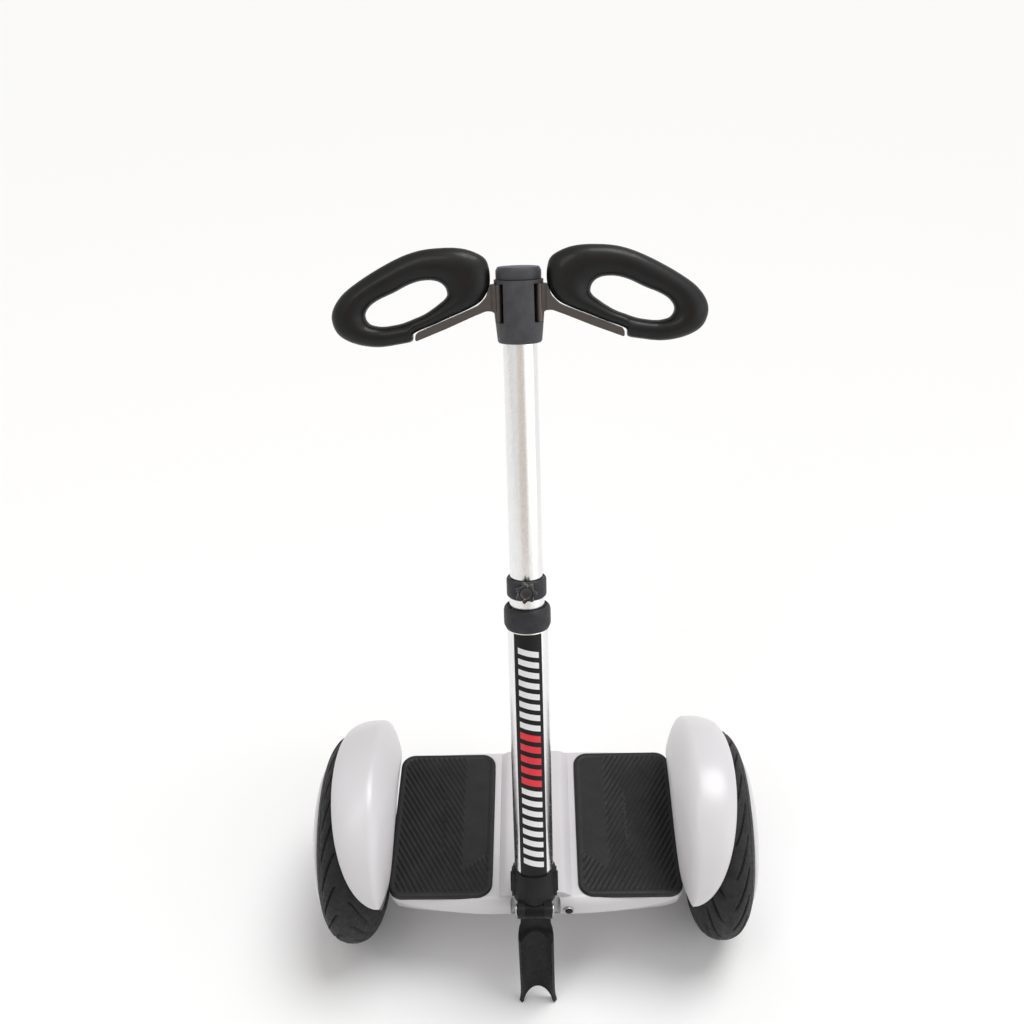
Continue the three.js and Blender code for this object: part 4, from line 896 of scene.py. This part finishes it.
# Kickstand, drawn about its pivot: +Z runs down the leg and -Y is its open front
LEG_START, LEG_LENGTH, LEG_LEAN = 6, 180.7, 0.028
LEG_INNER, LEG_THICK, LEG_ARC = 23, 3, 0.94
KNUCKLE_HALF, KNUCKLE_RADIUS, PIN_RADIUS = 10.7, 9.5, 4
ARCH_RADIUS, ARCH_DEEP = 17.5, 21
SLOT_HALF, SLOT_START, SLOT_END, SLOT_ROUND, SLOT_FRONT, SLOT_BACK = 4.5, 14, 18.5, 2.2, 2, 20
# Tables down the leg: its half width, the depth of its front, and how far it is a trough there
LEG_HALVES = [(LEG_START, 10.7), (13, 10.7), (17, 11.2), (22, 12.6), (46, 20), (54, 21), (155, 21),
              (166, 21.3), (174, 22.2), (LEG_LENGTH, 23.2)]
LEG_DEPTHS = [(0, 7.6), (44, 7.6), (47.5, 5), (LEG_LENGTH, 5)]
LEG_CURLS = [(0, 0), (22, 0), (44, 0.4), (47.5, 1), (LEG_LENGTH, 1)]
# The shoulder's line runs lower beside the middle
SHOULDER_SLANT, SHOULDER_POWER, SHOULDER_START = 10, 1.5, 40
LEG_PLACE = Matrix.Translation(Vector(joints["kickstand_fold"]["pos_m"]) / MM)
LEG_PLACE = LEG_PLACE @ Matrix.Rotation(-LEG_LEAN, 4, "X") @ Matrix.Diagonal((1, 1, -1, 1))


def leg_row(z, across):
    """A closed loop across the leg: its open front, then its back."""
    near, far = [], []
    half = between(LEG_HALVES, z)
    wall_share = LEG_THICK / LEG_INNER
    for j in range(across + 1):
        share = 2 * j / across - 1
        turn = LEG_ARC * share
        x = half * math.sin(turn) / math.sin(LEG_ARC)
        slant = SHOULDER_SLANT * abs(share) ** SHOULDER_POWER
        level = max(z - slant * smooth(z / SHOULDER_START), 0)
        curl = between(LEG_CURLS, level)
        bend = LEG_INNER * (1 - math.cos(turn)) * curl
        near.append((x * (1 - wall_share * curl), between(LEG_DEPTHS, level) - bend, z))
        far.append((x, between(LEG_DEPTHS, z) + LEG_THICK - bend * (1 - wall_share), z))
    return near + far[::-1]


def stand_leg():
    rows, across, sides, far = 90, 28, 64, 40
    levels = [LEG_START + (LEG_LENGTH - LEG_START) * i / rows for i in range(rows + 1)]
    leg = lofted("stand_leg", [leg_row(z, across) for z in levels], STAND, LEG_PLACE, sharp=30)
    turns = [2 * math.pi * i / sides for i in range(sides)]
    arch = [(ARCH_RADIUS * math.cos(a), LEG_LENGTH + ARCH_DEEP * math.sin(a)) for a in turns]
    slot = [(-SLOT_HALF, SLOT_START, 0), (SLOT_HALF, SLOT_START, 0),
            (SLOT_HALF, SLOT_END, 0), (-SLOT_HALF, SLOT_END, 0)]
    slot = [(x, z) for x, z, _ in filleted(slot, SLOT_ROUND, steps=5)]
    for outline, front, back in ((arch, -far, far), (slot, SLOT_FRONT, SLOT_BACK)):
        loops = [[(x, y, z) for x, z in outline] for y in (front, back)]
        combine(leg, lofted("cutter", loops, STAND, LEG_PLACE), "DIFFERENCE")
    place = LEG_PLACE @ Matrix.Rotation(math.pi / 2, 4, "Y")
    knuckle = cylinder("knuckle", place, KNUCKLE_RADIUS, -KNUCKLE_HALF, KNUCKLE_HALF, STAND, sides)
    combine(leg, knuckle, "UNION")
    pin_hole = cylinder("pin_hole", place, PIN_RADIUS + FIT, -far, far, STAND, sides)
    combine(leg, pin_hole, "DIFFERENCE")
    return soften(leg, width=0.5, segments=2, angle=40)


use(stand_leg(), "stand", "kickstand")


# CAD nodes that are shown as they are, with rounded edges
WELD = 0.01


def dress(node, material, width):
    item = frame["nodes"][node]
    item.data.materials.clear()
    item.data.materials.append(material)
    weld = item.modifiers.new("weld", "WELD")
    weld.merge_threshold = WELD * MM
    soften(item, width)
    item.data.polygons.foreach_set("use_smooth", [True] * len(item.data.polygons))


# Each with its material and the width of its rounded edges
SHOWN_NODES = [
    ("head_body", HEAD, 0.9), ("head_cap", HEAD, 0.7), ("post_socket", BLACK, 0.8),
    ("kickstand_pin", STEEL, 0.4), ("power_button", BLACK, 0.5),
    ("button_bezel", STEEL, 0.3), ("tail_light", LENS, 0.6), ("charge_port", BLACK, 0.4),
    ("chassis_frame", CAST, 0.8), ("front_shaft_bearing", STEEL, 0.4), ("rear_shaft_bearing", STEEL, 0.4),
    ("centering_block", PAD, 0.8), ("battery_pack", WRAP, 1.5), ("control_board", BOARD, 0.3),
    ("steering_shaft", STEEL, 0.5),
]
for node, material, width in SHOWN_NODES:
    dress(node, material, width)
SIDE_NODES = [
    ("foot_sensor", BOARD, 0.2), ("axle_clamp", CAST, 0.8), ("axle", STEEL, 0.5), ("stator", COPPER, 0.4),
    ("magnet_ring", STEEL, 0.3), ("hub_bearing", STEEL, 0.4), ("valve_stem", BLACK, 0.4),
    ("release_button", BLACK, 0.5), ("hinge_pin", STEEL, 0.2),
]
for label, _ in SIDES:
    for node, material, width in SIDE_NODES:
        dress(f"{label}_{node}", material, width)


# Floor, backdrop and light
def stage():
    far, low = 30000, -0.2
    points = [(-far, -far, low), (far, -far, low), (far, far, low), (-far, far, low)]
    faces = [(0, 1, 2, 3)]
    paper = Finish("paper", (0.93, 0.93, 0.93), 0.9, specular=0.0)
    mesh_object("floor", points, faces, paper.material)


def area_light(name, place, aim, size, power):
    data = bpy.data.lights.new(name, "AREA")
    data.shape = "RECTANGLE"
    data.size, data.size_y = size
    data.energy = power
    lamp = bpy.data.objects.new(name, data)
    lamp.location = Vector(place)
    lamp.rotation_euler = (Vector(aim) - Vector(place)).to_track_quat("-Z", "Y").to_euler()
    bpy.context.scene.collection.objects.link(lamp)


def sun(name, toward, strength, angle):
    data = bpy.data.lights.new(name, "SUN")
    data.energy = strength
    data.angle = math.radians(angle)
    lamp = bpy.data.objects.new(name, data)
    lamp.rotation_euler = Vector(toward).to_track_quat("-Z", "Y").to_euler()
    bpy.context.scene.collection.objects.link(lamp)


# The room's light from each side, as [share of a turn from behind, colour], and what reflections show
ROOM = [(0.0, (0.5, 0.49, 0.485)), (0.25, (0.6, 0.59, 0.585)), (0.4, (0.45, 0.44, 0.435)),
        (0.46, (0.36, 0.355, 0.35)), (0.53, (0.36, 0.355, 0.35)), (0.57, (0.6, 0.59, 0.585)),
        (0.7, (0.68, 0.67, 0.66)), (0.85, (0.55, 0.54, 0.535)), (1.0, (0.5, 0.49, 0.485))]
SHEEN = [(0.0, (0.62, 0.6, 0.58)), (0.12, (0.55, 0.54, 0.53)), (0.19, (0.78, 0.77, 0.76)),
         (0.4, (0.84, 0.83, 0.82)), (0.45, (0.72, 0.65, 0.59)), (0.55, (0.7, 0.63, 0.57)),
         (0.59, (1.2, 1.2, 1.2)), (0.64, (1.6, 1.6, 1.6)), (0.74, (1.5, 1.5, 1.5)),
         (0.82, (0.78, 0.77, 0.76)), (0.91, (0.98, 0.97, 0.96)), (1.0, (0.62, 0.6, 0.58))]


def world():
    """White to the camera. Other rays see a room that is brighter on its right side."""
    scene_world = bpy.data.worlds.new("world")
    bpy.context.scene.world = scene_world
    scene_world.use_nodes = True
    nodes, links = scene_world.node_tree.nodes, scene_world.node_tree.links
    background = nodes["Background"]
    split = nodes.new("ShaderNodeSeparateXYZ")
    links.new(nodes.new("ShaderNodeTexCoord").outputs["Generated"], split.inputs[0])
    turn = nodes.new("ShaderNodeMath")
    turn.operation = "ARCTAN2"
    flip = nodes.new("ShaderNodeMath")
    flip.operation = "MULTIPLY"
    flip.inputs[1].default_value = -1
    links.new(split.outputs["Y"], flip.inputs[0])
    links.new(split.outputs["X"], turn.inputs[0])
    links.new(flip.outputs[0], turn.inputs[1])
    share = nodes.new("ShaderNodeMath")
    share.operation = "MULTIPLY_ADD"
    share.inputs[1].default_value = 1 / (2 * math.pi)
    share.inputs[2].default_value = 1 / 2
    links.new(turn.outputs[0], share.inputs[0])
    rays = nodes.new("ShaderNodeLightPath")

    def ramp(table):
        blend = nodes.new("ShaderNodeValToRGB")
        stops = blend.color_ramp.elements
        for i, (place, colour) in enumerate(table):
            stop = stops[i] if i < 2 else stops.new(place)
            stop.position = place
            stop.color = (*colour, 1)
        links.new(share.outputs[0], blend.inputs["Fac"])
        return blend.outputs["Color"]

    def mixed(ray, first, second):
        mix = nodes.new("ShaderNodeMix")
        mix.data_type = "RGBA"
        links.new(rays.outputs[ray], mix.inputs["Factor"])
        links.new(first, mix.inputs["A"])
        if second:
            links.new(second, mix.inputs["B"])
        else:
            mix.inputs["B"].default_value = (1, 1, 1, 1)
        return mix.outputs["Result"]

    lit = mixed("Is Glossy Ray", ramp(ROOM), ramp(SHEEN))
    links.new(mixed("Is Camera Ray", lit, None), background.inputs["Color"])


stage()
world()
sun("key", toward=(-0.3, -0.12, -0.95), strength=1.62, angle=30)
area_light("card", place=(1.7, -0.6, 0.75), aim=(0, 0.1, 0.5), size=(1.5, 1.5), power=3)
area_light("high", place=(-0.7, -0.9, 2.4), aim=(-0.1, 0, 0.1), size=(0.5, 1.4), power=6)
bpy.context.scene.view_settings.view_transform = "Standard"
